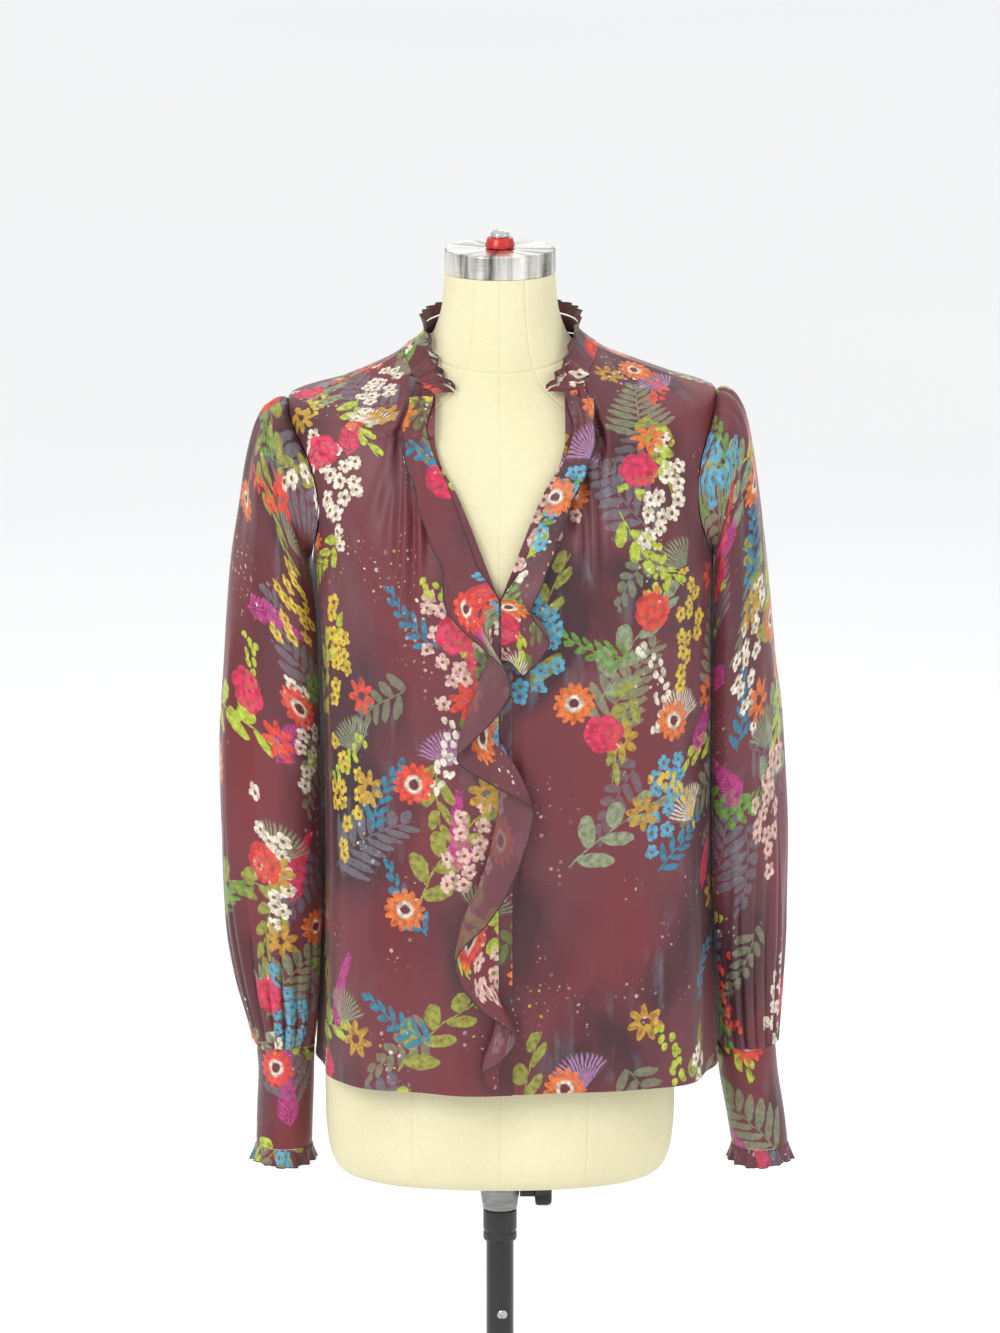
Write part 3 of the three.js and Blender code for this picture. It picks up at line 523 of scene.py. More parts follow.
# Under the torso a cast socket turns on the mast. A knob with five lobes is screwed through its side and
# presses on the mast.
socket_bottom, socket_top = heights("socket")
SOCKET = [
    (BORE_RADIUS, socket_bottom), (15.2, socket_bottom), (15.6, socket_bottom + 2),
    (17.5, socket_bottom + 14), (19, socket_top - 8), (22, socket_top - 6.4), (34, socket_top - 5),
    (34, socket_top), (BORE_RADIUS, socket_top), (BORE_RADIUS, socket_bottom),
]
cast_finish = bright_metal("cast grey metal", "#9c9c9a", 0.46, 500.0)
points, faces = turned(rounded(SOCKET, 1.0))
made_piece("form_socket", points, faces, cast_finish, "form", "grey_metal", ["socket"])

CLAMP_START = 18.1
CLAMP_LOBES = 5
CLAMP_SIDES = 120
CLAMP = table("x radius lobe", [
    [0, 4, 0],
    [13, 4, 0],
    [13.6, 6.5, 0.2],
    [14, 10.5, 1.2],
    [15, 11.6, 1.7],
    [17, 12, 1.8],
    [25, 12, 1.8],
    [27.6, 11.2, 1.6],
    [28.8, 9.7, 1.2],
    [29, 8.4, 0.8],
])
clamp_height = sum(heights("clamp_knob")) / 2
steps, turn = np.meshgrid(CLAMP["x"], np.linspace(0, 360, CLAMP_SIDES, endpoint=False), indexing="ij")
ring = along(CLAMP, steps)
radius = ring["radius"] + ring["lobe"] * np.cos(np.radians(CLAMP_LOBES * turn))
points = np.stack([
    CLAMP_START + steps,
    radius * np.cos(np.radians(turn)),
    clamp_height + radius * np.sin(np.radians(turn)),
], -1).reshape(-1, 3) * MM
faces = tube_faces(len(CLAMP["x"]), CLAMP_SIDES)
made_piece(
    "clamp_knob_lobed", points, faces, moulded_finish, "clamp", "black_plastic", ["clamp_knob"], smooth=35
)

# The neck's cap is a spun disc of brushed steel, with broad light and dark painted reflections round it. A
# red knob with a bright domed nut on it holds the cap.
cap_bottom, cap_top = heights("neck_cap")
knob_bottom, knob_top = heights("neck_knob")
nut_bottom, nut_top = heights("knob_nut")
CAP = [
    (0, cap_bottom), (49.5, cap_bottom), (49.5, cap_top - 1.2), (48.3, cap_top), (46.5, cap_top - 0.5),
    (20, cap_top - 0.6), (15, cap_top - 0.1), (0, cap_top),
]
brushed = Finish("brushed steel", roughness=0.3, metallic=1.0)
px, py, pz = brushed.parts(brushed.node("TexCoord").outputs["Object"])
around = px.apply("ARCTAN2", py)
# Painted reflection: broad light and dark bands round the cap stand in for what the bright steel reflects.
# The fine lines are the brushing.
painted_reflection_bands = brushed.level(brushed.vector(around * 1.6, pz * 3.0), 2.6, 3.0)
lines = brushed.level(brushed.vector(around * 2.0, pz * 4000.0), 1.0, 3.0)
# The dark and bright tones are the painted reflections' shade and highlight. The brushing lines add a fifth
# of the tone.
STEEL_AND_PAINTED_REFLECTION_TONES = (0.36, rgb("#5d5b57")), (0.47, rgb("#b9b6ae")), (0.6, rgb("#f1efe9"))
brushed.color(brushed.ramp(painted_reflection_bands * 0.8 + lines * 0.2, *STEEL_AND_PAINTED_REFLECTION_TONES))
brushed.bump(lines, 0.00002)
points, faces = turned(rounded(CAP, 0.5), 128)
made_piece("neck_cap_steel", points, faces, brushed, "form", "brushed_steel", ["neck_cap"])
KNOB = [
    (0, knob_bottom), (12.5, knob_bottom), (13.2, knob_bottom + 1.2), (13.2, knob_bottom + 3),
    (11.6, knob_top - 0.9), (10.6, knob_top), (0, knob_top),
]
red = enamel("red enamel", "#d9261b", 0.26, 500.0, 0.00003)
made_piece("neck_knob_red", *turned(rounded(KNOB, 0.5), 64), red, "form", "red_enamel", ["neck_knob"])
NUT = [
    (0, nut_bottom), (8.5, nut_bottom), (8.5, nut_bottom + 2.6), (8.1, nut_bottom + 3.4),
    (6.9, nut_bottom + 4.6), (5.0, nut_top - 0.9), (2.6, nut_top - 0.2), (0, nut_top),
]
points, faces = turned(rounded(NUT, 0.5), 48)
made_piece("neck_nut", points, faces, mast_finish, "form", "bright_steel", ["knob_nut"])

# The blouse's cloth: light polyester satin, printed all over with flowers and leaves on a plum ground that
# was painted wet, with darker clouds and runs. Its wrong side is plainer and paler. Every pattern piece has
# a UV map in metres of flat cloth, so that the print keeps its size, and starts at a place of its own.


def brushed_cloth(finish):
    """The flat cloth's two coordinates in metres, shaken a little as a loaded brush shakes an outline."""
    flat = finish.node("UVMap", uv_map="Cloth").outputs["UV"]
    across, up = finish.parts(flat)[:2]
    shake_across, shake_up = finish.parts(finish.noise(flat, 70.0, 3.0, 0.6).outputs["Color"])[:2]
    across = across + (shake_across - 0.5) * 0.006
    up = up + (shake_up - 0.5) * 0.006
    return flat, across, up


class Motif:
    """Places for one kind of motif, one to a cell of the flat cloth at most, each turned its own way.
    All the kinds gather in the same bouquets, with open ground between them."""

    def __init__(self, finish, across, up, cell, seed, share, lean=0.0, swing=40.0, loose=0.5):
        at = finish.vector(across / cell + seed, up / cell + seed * 0.37)
        inputs = {"Vector": at, "Scale": 1.0, "Randomness": loose}
        spread = finish.node("TexVoronoi", inputs, voronoi_dimensions="2D")
        middle_across, middle_up = finish.parts(spread.outputs["Position"])[:2]
        self.one, self.two, self.three = finish.parts(spread.outputs["Color"], "SeparateColor")
        self.across = (middle_across - seed) * cell
        self.up = (middle_up - seed * 0.37) * cell
        x = across - self.across
        y = up - self.up
        turn = (self.two - 0.5) * math.radians(2 * swing) + math.radians(lean)
        sine, cosine = turn.apply("SINE"), turn.apply("COSINE")
        self.x = x * cosine + y * sine
        self.y = y * cosine - x * sine
        bouquet = finish.level(finish.vector(self.across * 6.0 + 0.7, self.up * 4.6), 1.0, 1.0)
        self.present = (bouquet + (self.one - 0.5) * 0.3).over(1 - share)
        self.finish = finish

    def far(self):
        """The distance from the middle of the motif."""
        return (self.x * self.x + self.y * self.y).apply("SQRT")

    def pick(self, *colors):
        """One of the colours for each place."""
        chosen = colors[0]
        for i, color in enumerate(colors[1:], 1):
            chosen = self.finish.mixed(self.three.over(i / len(colors)), chosen, color)
        return chosen


def leaves(motif, length, leaf, width, spacing, angle, bend=0.0, stem=0.0008, taper=0.75):
    """A stem with leaves up both its sides, in turn. It gives the mask of the whole spray."""
    share = motif.y / length + 0.5
    x = motif.x - (share * share) * bend * length
    side = x.over(0.0) - 0.5
    tilt, cosine = math.tan(math.radians(angle)), math.cos(math.radians(angle))
    start = (motif.y - abs(x) * tilt) / spacing + side * 0.5
    row = start.apply("FLOOR")
    grow = (row + 0.5) * (spacing / length) + 0.5
    size = (1 - grow * taper) * leaf
    reach = abs(x) / (size * cosine)
    off = abs(start - row - 0.5) * (spacing * cosine)
    half = (reach * (1 - reach)).apply("MAXIMUM", 0.0).apply("SQRT") * width
    inside = (grow - 0.02).apply("MINIMUM", 0.98 - grow).step(0.02)
    blade = (half - off - 0.0006).step(0.0009) * inside
    line = (stem - abs(x)).step(0.0006) * (0.49 - abs(share - 0.5)).step(0.02)
    return blade.apply("MAXIMUM", line) * motif.present


def flower(motif, radius, petals, cut, point=1.0):
    """A flower seen from above: the mask of its petals and its distance from the middle, 1 at the tips."""
    theta = motif.x.apply("ARCTAN2", motif.y)
    far = motif.far()
    wave = abs((theta * (petals / 2)).apply("SINE")).apply("POWER", point)
    edge = (1 - (1 - wave) * cut) * radius
    return (edge - far).step(0.0009) * motif.present, far / radius


def tuft(motif, length, half_angle, bristles):
    """A brush of fine hairs that opens upwards, as a thistle's does."""
    theta = motif.x.apply("ARCTAN2", motif.y)
    far = motif.far() / length
    comb = abs((theta * bristles).apply("SINE"))
    fan = (math.radians(half_angle) - abs(theta)).step(0.1)
    hair = (comb - far * 0.55 - 0.12).step(0.25)
    return hair * fan * (1 - far).step(0.15) * motif.present


PLUM = rgb("#6b383f")
PLUM_DARK = rgb("#48262d")
WINE = rgb("#7e2228")
SMOKE = rgb("#2f2229")
SLATE = rgb("#77757f")
SAGE = rgb("#8d9a78")
OLIVE = rgb("#97993f")
LIME = rgb("#b5c53f")
LEAF_GREEN = rgb("#6a9440")
CREAM_WHITE = rgb("#eadfcb")
BLUSH = rgb("#e0b9ad")
CORAL = rgb("#e24a38")
PINK = rgb("#e2355c")
MAGENTA = rgb("#c23b8c")
ORANGE = rgb("#df7434")
MUSTARD = rgb("#bf9333")
TEAL = rgb("#2f7f9c")
SKY = rgb("#57a6c4")
LILAC = rgb("#b487b4")
GOLD = rgb("#dcbc3e")

# Ferns, faint leaves, sprays, vines, twigs and plumes: the cell, seed, share, lean and swing of their
# places, what leaves() needs for their shape, their colours and the strength of the paint.
LEAF_KINDS = [
    (0.135, 3.1, 0.49, 20, 70, (0.105, 0.046, 0.0095, 0.012, 34, 0.25), (SLATE, SAGE, SLATE), 0.62),
    (0.105, 9.4, 0.45, 160, 60, (0.070, 0.024, 0.010, 0.013, 25, -0.2), (SAGE, SLATE, LEAF_GREEN), 0.5),
    (0.150, 17.8, 0.54, -20, 60, (0.128, 0.036, 0.0165, 0.029, 32, 0.35), (LIME, OLIVE, SAGE, OLIVE), 0.95),
    (0.125, 27.2, 0.49, 150, 70, (0.100, 0.028, 0.0125, 0.021, 40, -0.3), (OLIVE, LIME, LEAF_GREEN), 0.95),
    (0.125, 23.7, 0.46, 30, 80, (0.075, 0.021, 0.0075, 0.012, 38, 0.3), (TEAL, LEAF_GREEN, TEAL), 0.95),
    (0.135, 31.2, 0.47, -15, 35, (0.075, 0.019, 0.0038, 0.0046, 48, 0.2), (MAGENTA, PINK, MAGENTA), 0.95),
]


def printed_satin(name, wrong_side):
    finish = Finish(
        name, roughness=0.44, Specular_IOR_Level=0.42, Sheen_Weight=0.22, Sheen_Roughness=0.35,
        Sheen_Tint=(0.95, 0.8, 0.82, 1.0),
    )
    flat, across, up = brushed_cloth(finish)
    streak = finish.vector(across * 26.0, up * 3.2)
    cloud = finish.level(finish.vector(across * 7.0, up * 4.5), 1.0, 3.0)
    runs = finish.level(streak, 1.0, 4.0)
    ground = finish.ramp(cloud, (0.36, PLUM_DARK), (0.5, PLUM), (0.66, PLUM))
    wet = finish.level(finish.vector(across * 9.0 + 3.3, up * 3.4), 1.0, 2.0)
    ground = finish.mixed(((wet - 0.55) * 6.0 * runs).step(1.0) * 0.8 - 0.16, ground, WINE)
    smoke = finish.level(finish.vector(across * 8.0 + 7.1, up * 5.0 + 2.0), 1.0, 3.0)
    ground = finish.mixed(((smoke - 0.56) * 7.0).apply("MINIMUM", 0.8).apply("MAXIMUM", 0.0), ground, SMOKE)
    fleck = finish.level(finish.vector(across * 55.0, up * 14.0), 1.0, 3.0)
    haze = ((fleck - 0.56) * 4.0).apply("MAXIMUM", 0.0) * ((smoke - 0.5) * 6.0).apply("MAXIMUM", 0.0)
    color = finish.mixed(haze.apply("MINIMUM", 0.5), ground, SLATE)
    touch = finish.level(flat, 180.0, 3.0)
    shade = touch * 1.3 + 0.28

    def paint(color, mask, paints, strength=0.95):
        inputs = {"Factor": 1.0, 6: paints, 7: finish.vector(shade, shade, shade)}
        toned = finish.node("Mix", inputs, data_type="RGBA", blend_type="MULTIPLY").outputs[2]
        worn = mask * (touch * 1.6 + 0.1).apply("MINIMUM", strength)
        return finish.mixed(worn, color, toned)

    for cell, seed, share, lean, swing, shape, colors, strength in LEAF_KINDS:
        kind = Motif(finish, across, up, cell, seed, share, lean, swing)
        color = paint(color, leaves(kind, *shape), kind.pick(*colors), strength)
    thistles = Motif(finish, across, up, 0.115, 41.9, 0.45, lean=10, swing=50)
    hairs = tuft(thistles, 0.032, 58, 22.0)
    color = paint(color, hairs, thistles.pick(SAGE, LILAC, CREAM_WHITE, SAGE), 0.75)

    blossoms = Motif(finish, across, up, 0.0158, 5.7, 1.6, swing=180, loose=0.7)
    bunches = Motif(finish, blossoms.across, blossoms.up, 0.145, 52.3, 0.55, swing=25)
    hang = (1 - abs(bunches.y) / 0.068).apply("MAXIMUM", 0.0)
    bunch = (hang * 0.026 - abs(bunches.x + bunches.y * bunches.y * 5.0)).over(0.0) * bunches.present
    petals, far = flower(blossoms, 0.0078, 5, 0.5, 0.5)
    tint = bunches.pick(CREAM_WHITE, BLUSH, CREAM_WHITE, GOLD, SKY)
    bloom = finish.mixed((0.24 - far).step(0.1), tint, rgb("#7d5a3a"))
    color = paint(color, petals * bunch, bloom, 0.98)
    buds = Motif(finish, across, up, 0.0085, 8.8, 1.6, loose=0.8)
    strings = Motif(finish, buds.across, buds.up, 0.115, 63.1, 0.47, swing=60)
    string = (0.009 - abs(strings.x + strings.y * strings.y * 9.0)).over(0.0)
    string = string * (0.040 - abs(strings.y)).over(0.0) * strings.present
    bud = (0.0029 - (buds.x * buds.x + buds.y * buds.y * 0.5).apply("SQRT")).step(0.0008)
    color = paint(color, bud * string, strings.pick(GOLD, LIME, CORAL, CREAM_WHITE, LIME))

    daisies = Motif(finish, across, up, 0.098, 71.4, 0.47, swing=180)
    petals, far = flower(daisies, 0.0175, 7, 0.55, 1.2)
    star = petals * (far - 0.24).step(0.06)
    color = paint(color, star, daisies.pick(MUSTARD, ORANGE, MUSTARD, CORAL))
    suns = Motif(finish, across, up, 0.122, 83.6, 0.49, swing=180)
    petals, far = flower(suns, 0.0195, 13, 0.26, 1.0)
    ring = finish.mixed((0.4 - far).step(0.14), suns.pick(ORANGE, CORAL, ORANGE), CREAM_WHITE)
    ring = finish.mixed((0.24 - far).step(0.08), ring, rgb("#6b2a2c"))
    color = paint(color, petals, ring, 0.97)
    roses = Motif(finish, across, up, 0.142, 97.5, 0.475, swing=180)
    petals, far = flower(roses, 0.0185, 6, 0.14, 0.6)
    whorl = ((far * 11.0 + roses.x.apply("ARCTAN2", roses.y)).apply("SINE") * 0.5 + 0.5) * 0.5
    rose = finish.mixed(whorl, roses.pick(PINK, CORAL, PINK), rgb("#a31d3c"))
    color = paint(color, petals, rose, 0.97)

    splash = finish.level(finish.vector(across * 17.0 + 1.7, up * 11.0), 1.0, 1.0)
    specks = Motif(finish, across, up, 0.0088, 13.3, 1.6, loose=1.0)
    speck_size = specks.one * specks.one * 0.0015 + 0.0003
    speck = (speck_size - specks.far()).step(0.0005) * ((splash - 0.62) * 9.0).step(1.0)
    color = paint(color, speck, specks.pick(CREAM_WHITE, GOLD, BLUSH, CREAM_WHITE), 0.9)
    if wrong_side:
        color = finish.mixed(0.86, color, rgb("#6b3d45"))
    finish.color(color)
    inputs = {"Vector": flat, "Scale": 900.0, "Distortion": 1.5, "Detail": 1.0}
    thread = Field(finish, finish.node("TexWave", inputs, bands_direction="DIAGONAL").outputs["Fac"])
    finish.bump(finish.level(flat, 42.0, 2.0) + thread * 0.03, 0.0012, 0.35)
    return finish


satin = printed_satin("printed satin", False)
satin_back = printed_satin("printed satin, wrong side", True)
CLOTH = 0.5


def normals(grid, looped):
    up = np.gradient(grid, axis=0)
    across = np.roll(grid, -1, 1) - np.roll(grid, 1, 1) if looped else np.gradient(grid, axis=1)
    normal = np.cross(across, up)
    return normal / np.maximum(np.linalg.norm(normal, axis=-1, keepdims=True), 1e-9)


def lengths(grid, axis):
    """How far each point lies from the first one of its row or column, along the cloth."""
    steps = np.linalg.norm(np.diff(grid, axis=axis), axis=-1)
    start = np.zeros_like(np.take(steps, [0], axis))
    return np.concatenate([start, np.cumsum(steps, axis)], axis)


def cloth_piece(name, grid, flat, cut_from, replaced=(), looped=False, flip=False, thick=CLOTH):
    """A pattern piece: a thin closed wall about a grid of points in mm, with its flat places as a UV map.
    A looped grid is a tube, and its flat places have one column more than it has."""
    if flip:
        grid = grid[:, ::-1]
        flat = flat[:, ::-1]
    rows, columns = grid.shape[:2]
    normal = normals(grid, looped)
    points = np.concatenate([grid + normal * thick / 2, grid - normal * thick / 2]).reshape(-1, 3) * MM
    wide = columns if looped else columns - 1
    i, j = (part.ravel() for part in np.meshgrid(np.arange(rows - 1), np.arange(wide), indexing="ij"))
    out, inside = np.zeros_like(i), np.ones_like(i)
    outer = np.array([[i, j, out], [i, j + 1, out], [i + 1, j + 1, out], [i + 1, j, out]])
    inner = np.array([[i + 1, j, inside], [i + 1, j + 1, inside], [i, j + 1, inside], [i, j, inside]])
    quads = [outer, inner]
    j = np.arange(wide)
    for row, turned_over in ((0, True), (rows - 1, False)):
        i = np.full_like(j, row)
        out, inside = np.zeros_like(j), np.ones_like(j)
        rim = [[i, j, out], [i, j + 1, out], [i, j + 1, inside], [i, j, inside]]
        quads.append(np.array(rim[::-1] if turned_over else rim))
    if not looped:
        i = np.arange(rows - 1)
        for column, turned_over in ((0, False), (columns - 1, True)):
            j = np.full_like(i, column)
            out, inside = np.zeros_like(i), np.ones_like(i)
            rim = [[i, j, out], [i + 1, j, out], [i + 1, j, inside], [i, j, inside]]
            quads.append(np.array(rim[::-1] if turned_over else rim))
    corners = np.concatenate([quad.transpose(2, 0, 1) for quad in quads])
    vertex = corners[..., 0] * columns + corners[..., 1] % columns + corners[..., 2] * rows * columns
    mesh = bpy.data.meshes.new(name)
    mesh.vertices.add(len(points))
    mesh.vertices.foreach_set("co", points.ravel())
    mesh.loops.add(vertex.size)
    mesh.loops.foreach_set("vertex_index", vertex.ravel())
    mesh.polygons.add(len(vertex))
    mesh.polygons.foreach_set("loop_start", np.arange(0, vertex.size, 4))
    which = (corners[:, :, 2].sum(1) == 4).astype(np.int32)
    mesh.polygons.foreach_set("material_index", which)
    mesh.update(calc_edges=True)
    start = np.array(cut_from, float)
    places = flat[corners[..., 0], corners[..., 1]] * MM + start
    mesh.uv_layers.new(name="Cloth").data.foreach_set("uv", places.ravel())
    mesh.shade_smooth()
    mesh.set_sharp_from_angle(angle=math.radians(60))
    mesh.materials.append(satin.material)
    mesh.materials.append(satin_back.material)
    piece = bpy.data.objects.new(name, mesh)
    bpy.context.scene.collection.objects.link(piece)
    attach(piece, "form")
    if replaced:
        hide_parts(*replaced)
    return piece

# The body of the blouse: two fronts and a back on the fold, joined at the shoulders and sides. Gathers at
# the collar's seam run down each front and fade away, and the cloth hangs in low waves towards the hem. The
# right front laps over the left one.
HEM = 603
UNDERARM = 1070
SHOULDER = 1213
NECKLINE = 1258
SEAM = 0.3
WALL = 1.2
BODY = table("z right left front back side square drop rise lift", [
    [603, 165, 195, 133, 127, -14, 2.3, 0, 0, 0],
    [700, 161, 192, 135, 123, -14, 2.25, 0, 0, 0],
    [800, 159, 189, 137, 117, -13, 2.15, 0, 0, 0],
    [900, 159, 188, 140, 114, -12, 2.15, 0, 0, 0],
    [1000, 161, 189, 143, 114, -9, 2.2, 0, 0, 0],
    [1058, 166, 191, 141, 116, -5, 2.25, 0, 0, 0],
    [1100, 172, 192, 131, 118, -2, 2.3, 0.02, 0, 1],
    [1140, 179, 194, 114, 117, 0, 2.35, 0.06, 0, 3],
    [1180, 186, 194, 96, 109, 3, 2.3, 0.14, 0.02, 5],
    [1203, 190, 194, 86, 97, 5, 2.2, 0.22, 0.04, 6],
    [1213, 189, 193, 82, 91, 5, 2.15, 0.28, 0.06, 7],
    [1225, 151, 158, 82, 84, 4, 2.1, 0.34, 0.07, 7],
    [1237, 121, 127, 83, 79, 3, 2.1, 0.4, 0.07, 6],
    [1249, 97, 101, 84, 74, 1, 2.05, 0.46, 0.07, 4],
    [1258, 85, 87, 84, 71, 0, 2.05, 0.5, 0.07, 2],
])
LAP = 11
FRONT_EDGE = table("z x", [
    [603, -LAP], [1030, -LAP], [1063, 3], [1108, 20], [1154, 38], [1188, 54], [1212, 58], [1228, 58],
])
FRONT_LINES = [
    dict(neck=63, shoulder=63.5, hem=66, fold=-1.6, fade=1060),
    dict(neck=66, shoulder=69, hem=77, fold=3.0, fade=1030),
    dict(neck=69, shoulder=74.5, hem=87, fold=-2.2, fade=980),
    dict(neck=72, shoulder=80.5, hem=97, fold=3.6, fade=960),
    dict(neck=75, shoulder=86.5, hem=108, fold=-2.2, fade=980),
    dict(neck=77.5, shoulder=93, hem=119, fold=2.8, fade=1060),
    dict(neck=80, shoulder=101, hem=132, fold=-1.2, fade=1090),
]
HEM_WAVES = [(7, 20, 3.6), (11, 75, 2.2), (4, 130, 3.0)]
WAVES_START = 1040
TUCK = 2.1
LAP_LINES = (LAP + 3, LAP + 11)


def line_x(line, z):
    low = line["hem"] + (line["shoulder"] - line["hem"]) * (z - HEM) / (SHOULDER - HEM)
    share = (z - SHOULDER) / (NECKLINE - SHOULDER)
    shoulder = along(BODY, SHOULDER)["right"]
    neck = along(BODY, NECKLINE)["right"]
    ratio = line["shoulder"] / shoulder * (1 - share) + line["neck"] / neck * share
    return np.where(z <= SHOULDER, low, ratio * along(BODY, z)["right"])


def neck_fold(x, z):
    """How far the gathers push a front out at an x."""
    reach = np.abs(x)
    places = [line_x(line, z) for line in FRONT_LINES]
    heights = [line["fold"] * ease(line["fade"], line["fade"] + 120, z) for line in FRONT_LINES]
    found = heights[0] * ease(places[0] - 12, places[0], reach)
    for i in range(len(places) - 1):
        share = ease(places[i], places[i + 1], reach)
        found = np.where(reach > places[i], heights[i] * (1 - share) + heights[i + 1] * share, found)
    return np.where(reach >= places[-1], heights[-1] * ease(places[-1] + 14, places[-1], reach), found)


def hem_wave(phi, z):
    strength = ease(WAVES_START, HEM, z) ** 1.2
    waves = [height * np.cos(np.radians(count * phi + turn)) for count, turn, height in HEM_WAVES]
    return strength * sum(waves)


def body_point(phi, z, away=0.0, gathered=1.0):
    """Points of the worn body: phi is 0 at the middle of the front, 90 at the wearer's left side.
    Gathered is how much of the neck's gathers they have."""
    phi, z = np.broadcast_arrays(np.asarray(phi, float), np.asarray(z, float))
    level = along(BODY, z)
    power = 2 / level["square"]
    sine, cosine = np.sin(np.radians(phi)), np.cos(np.radians(phi))
    half = np.where(sine < 0, level["right"], level["left"])
    deep = np.where(cosine > 0, level["front"] + level["side"], level["back"] - level["side"])
    x = np.sign(sine) * half * np.abs(sine) ** power
    reach = -np.sign(cosine) * deep * np.abs(cosine) ** power
    slope = np.where(cosine > 0, level["drop"], level["rise"])
    lift = np.where(sine > 0, level["lift"] * sine * sine, 0)
    normal_x, normal_y = x / half ** 2, reach / deep ** 2
    size = np.hypot(normal_x, normal_y)
    in_front = np.where(cosine > 0, gathered * neck_fold(x, z) * ease(0, 0.25, cosine), 0)
    out = away + in_front + hem_wave(phi, z)
    return np.stack([
        x + normal_x / size * out,
        level["side"] + reach + normal_y / size * out,
        z + slope * reach + lift,
    ], -1)


def angle_at(x, z):
    level = along(BODY, z)
    half = np.where(np.asarray(x) < 0, level["right"], level["left"])
    share = np.minimum(1, (np.abs(x) / half) ** (level["square"] / 2))
    return np.degrees(np.sign(x) * np.arcsin(share))


ARMHOLE_CUT = 27


def armhole(z):
    up = np.clip((z - UNDERARM) / (SHOULDER - UNDERARM), 0, 1)
    return ARMHOLE_CUT * np.maximum(0, np.sin(np.pi * up)) ** 0.6


def creased(grid, across, up, creases, looped=False):
    """Pushes a cloth's points out along its normals by soft folds. Each fold runs from one place to
    another, in mm across and up the piece; a negative height is a trough. It widens towards its end."""
    push = np.zeros(across.shape)
    for x, z, to_x, to_z, width, height, bow in creases:
        way_x, way_z = to_x - x, to_z - z
        length = math.hypot(way_x, way_z)
        share = ((across - x) * way_x + (up - z) * way_z) / length ** 2
        along_it = np.clip(share, 0, 1)
        off = ((across - x) * way_z - (up - z) * way_x) / length - bow * np.sin(np.pi * along_it)
        fade = ease(-0.06, 0.16, share) * ease(1.04, 0.5, share)
        push += height * fade * bell(off, width * (0.75 + 0.6 * along_it))
    return grid + normals(grid, looped) * push[..., None]


BODY_LEVELS = np.concatenate([np.linspace(HEM, 1190, 128), np.linspace(1193, NECKLINE, 40)])
FRONT_COLUMNS = 120
RIGHT_CREASES = [
    (-77, 1228, -75, 1118, 3.6, -5.0, 1),
    (-84, 1228, -90, 1120, 3.0, 3.2, -1),
    (-91, 1228, -94, 1190, 2.4, -4.4, 0),
    (-99, 1226, -120, 1100, 4.6, 2.6, -3),
    (-108, 1222, -134, 1110, 5.0, -2.4, -4),
    (-58, 1215, -52, 1120, 4.5, 1.6, 0),
    (-174, 1150, -120, 1040, 13, -2.2, 6),
    (-182, 1120, -128, 985, 15, 2.4, 8),
    (-140, 1040, -128, 800, 20, 2.2, 6),
    (-108, 1010, -96, 760, 18, -2.2, -8),
    (-60, 960, -74, 700, 22, 1.8, 7),
    (-186, 1060, -176, 820, 13, -2.6, -5),
    (-205, 1000, -196, 720, 15, 2.4, 4),
    (-152, 860, -158, 615, 17, -2.2, 5),
    (-34, 900, -44, 640, 14, -1.6, -5),
    (-92, 800, -104, 606, 20, 2.4, -4),
    (-128, 720, -134, 606, 12, -1.6, 3),
]
LEFT_CREASES = [
    (75, 1214, 76, 1118, 4.0, -4.8, 1),
    (81, 1226, 86, 1140, 2.4, 3.0, 1),
    (86, 1228, 92, 1182, 2.4, -4.4, 0),
    (92, 1226, 100, 1120, 2.8, 3.0, 2),
    (98, 1228, 108, 1184, 2.6, -4.2, 1),
    (105, 1224, 122, 1090, 4.4, 2.6, 3),
    (64, 1215, 58, 1100, 3.6, -2.4, 0),
    (108, 1220, 138, 1125, 7.0, 1.8, 4),
    (170, 1165, 206, 1128, 9, 2.8, 3),
    (176, 1150, 130, 1050, 14, -2.2, -6),
    (188, 1120, 140, 990, 16, 2.2, -7),
    (150, 1050, 138, 800, 20, -2.0, -6),
    (112, 1000, 104, 740, 20, 2.0, 8),
    (66, 980, 82, 700, 22, -1.8, -7),
    (205, 1060, 196, 800, 13, -2.6, 5),
    (232, 1010, 222, 760, 15, 2.2, -4),
    (178, 860, 186, 612, 18, 2.4, -5),
    (40, 900, 52, 650, 15, 1.6, 5),
    (118, 780, 128, 606, 18, -2.2, 4),
]
HEM_DEPTH = 7.0


def hemmed(up, height=0.35):
    """A narrow turned hem stands out a little and dips along its stitches."""
    return height * (ease(HEM_DEPTH + 1, HEM_DEPTH - 1, up) - bell(up - HEM_DEPTH, 0.9))


def front(side, creases):
    z = BODY_LEVELS[:, None]
    level = along(BODY, z)
    edge = along(FRONT_EDGE, z)["x"]
    seam = np.degrees(SEAM / 2 / (level["front"] + level["side"]))
    start = np.abs(angle_at(side * edge, z)) * np.sign(edge)
    end = 90 - armhole(z) - seam
    share = np.linspace(0, 1, FRONT_COLUMNS)[None, :]
    phi = side * (start + (end - start) * share)
    x = side * body_point(phi, z)[..., 0]
    tuck = -TUCK * ease(LAP_LINES[1], LAP_LINES[0], x) * ease(1085, 1062, z) if side > 0 else 0.0
    grid = body_point(phi, z, tuck)
    across = edge + lengths(grid, 1)
    shown = np.broadcast_to(z, across.shape)
    grid = creased(grid, side * across, shown, creases)
    up = lengths(grid, 0)
    grid = grid + side * normals(grid, False) * hemmed(up)[..., None]
    flat = np.stack([side * across, up], -1)
    return grid, flat


for side, word, creases, cut_from in (
    (-1, "right", RIGHT_CREASES, (0.31, 0.02)),
    (1, "left", LEFT_CREASES, (1.13, 0.43)),
):
    grid, flat = front(side, creases)
    piece = cloth_piece(f"front_{word}_satin", grid, flat, cut_from, [f"front_{word}"], flip=side < 0)

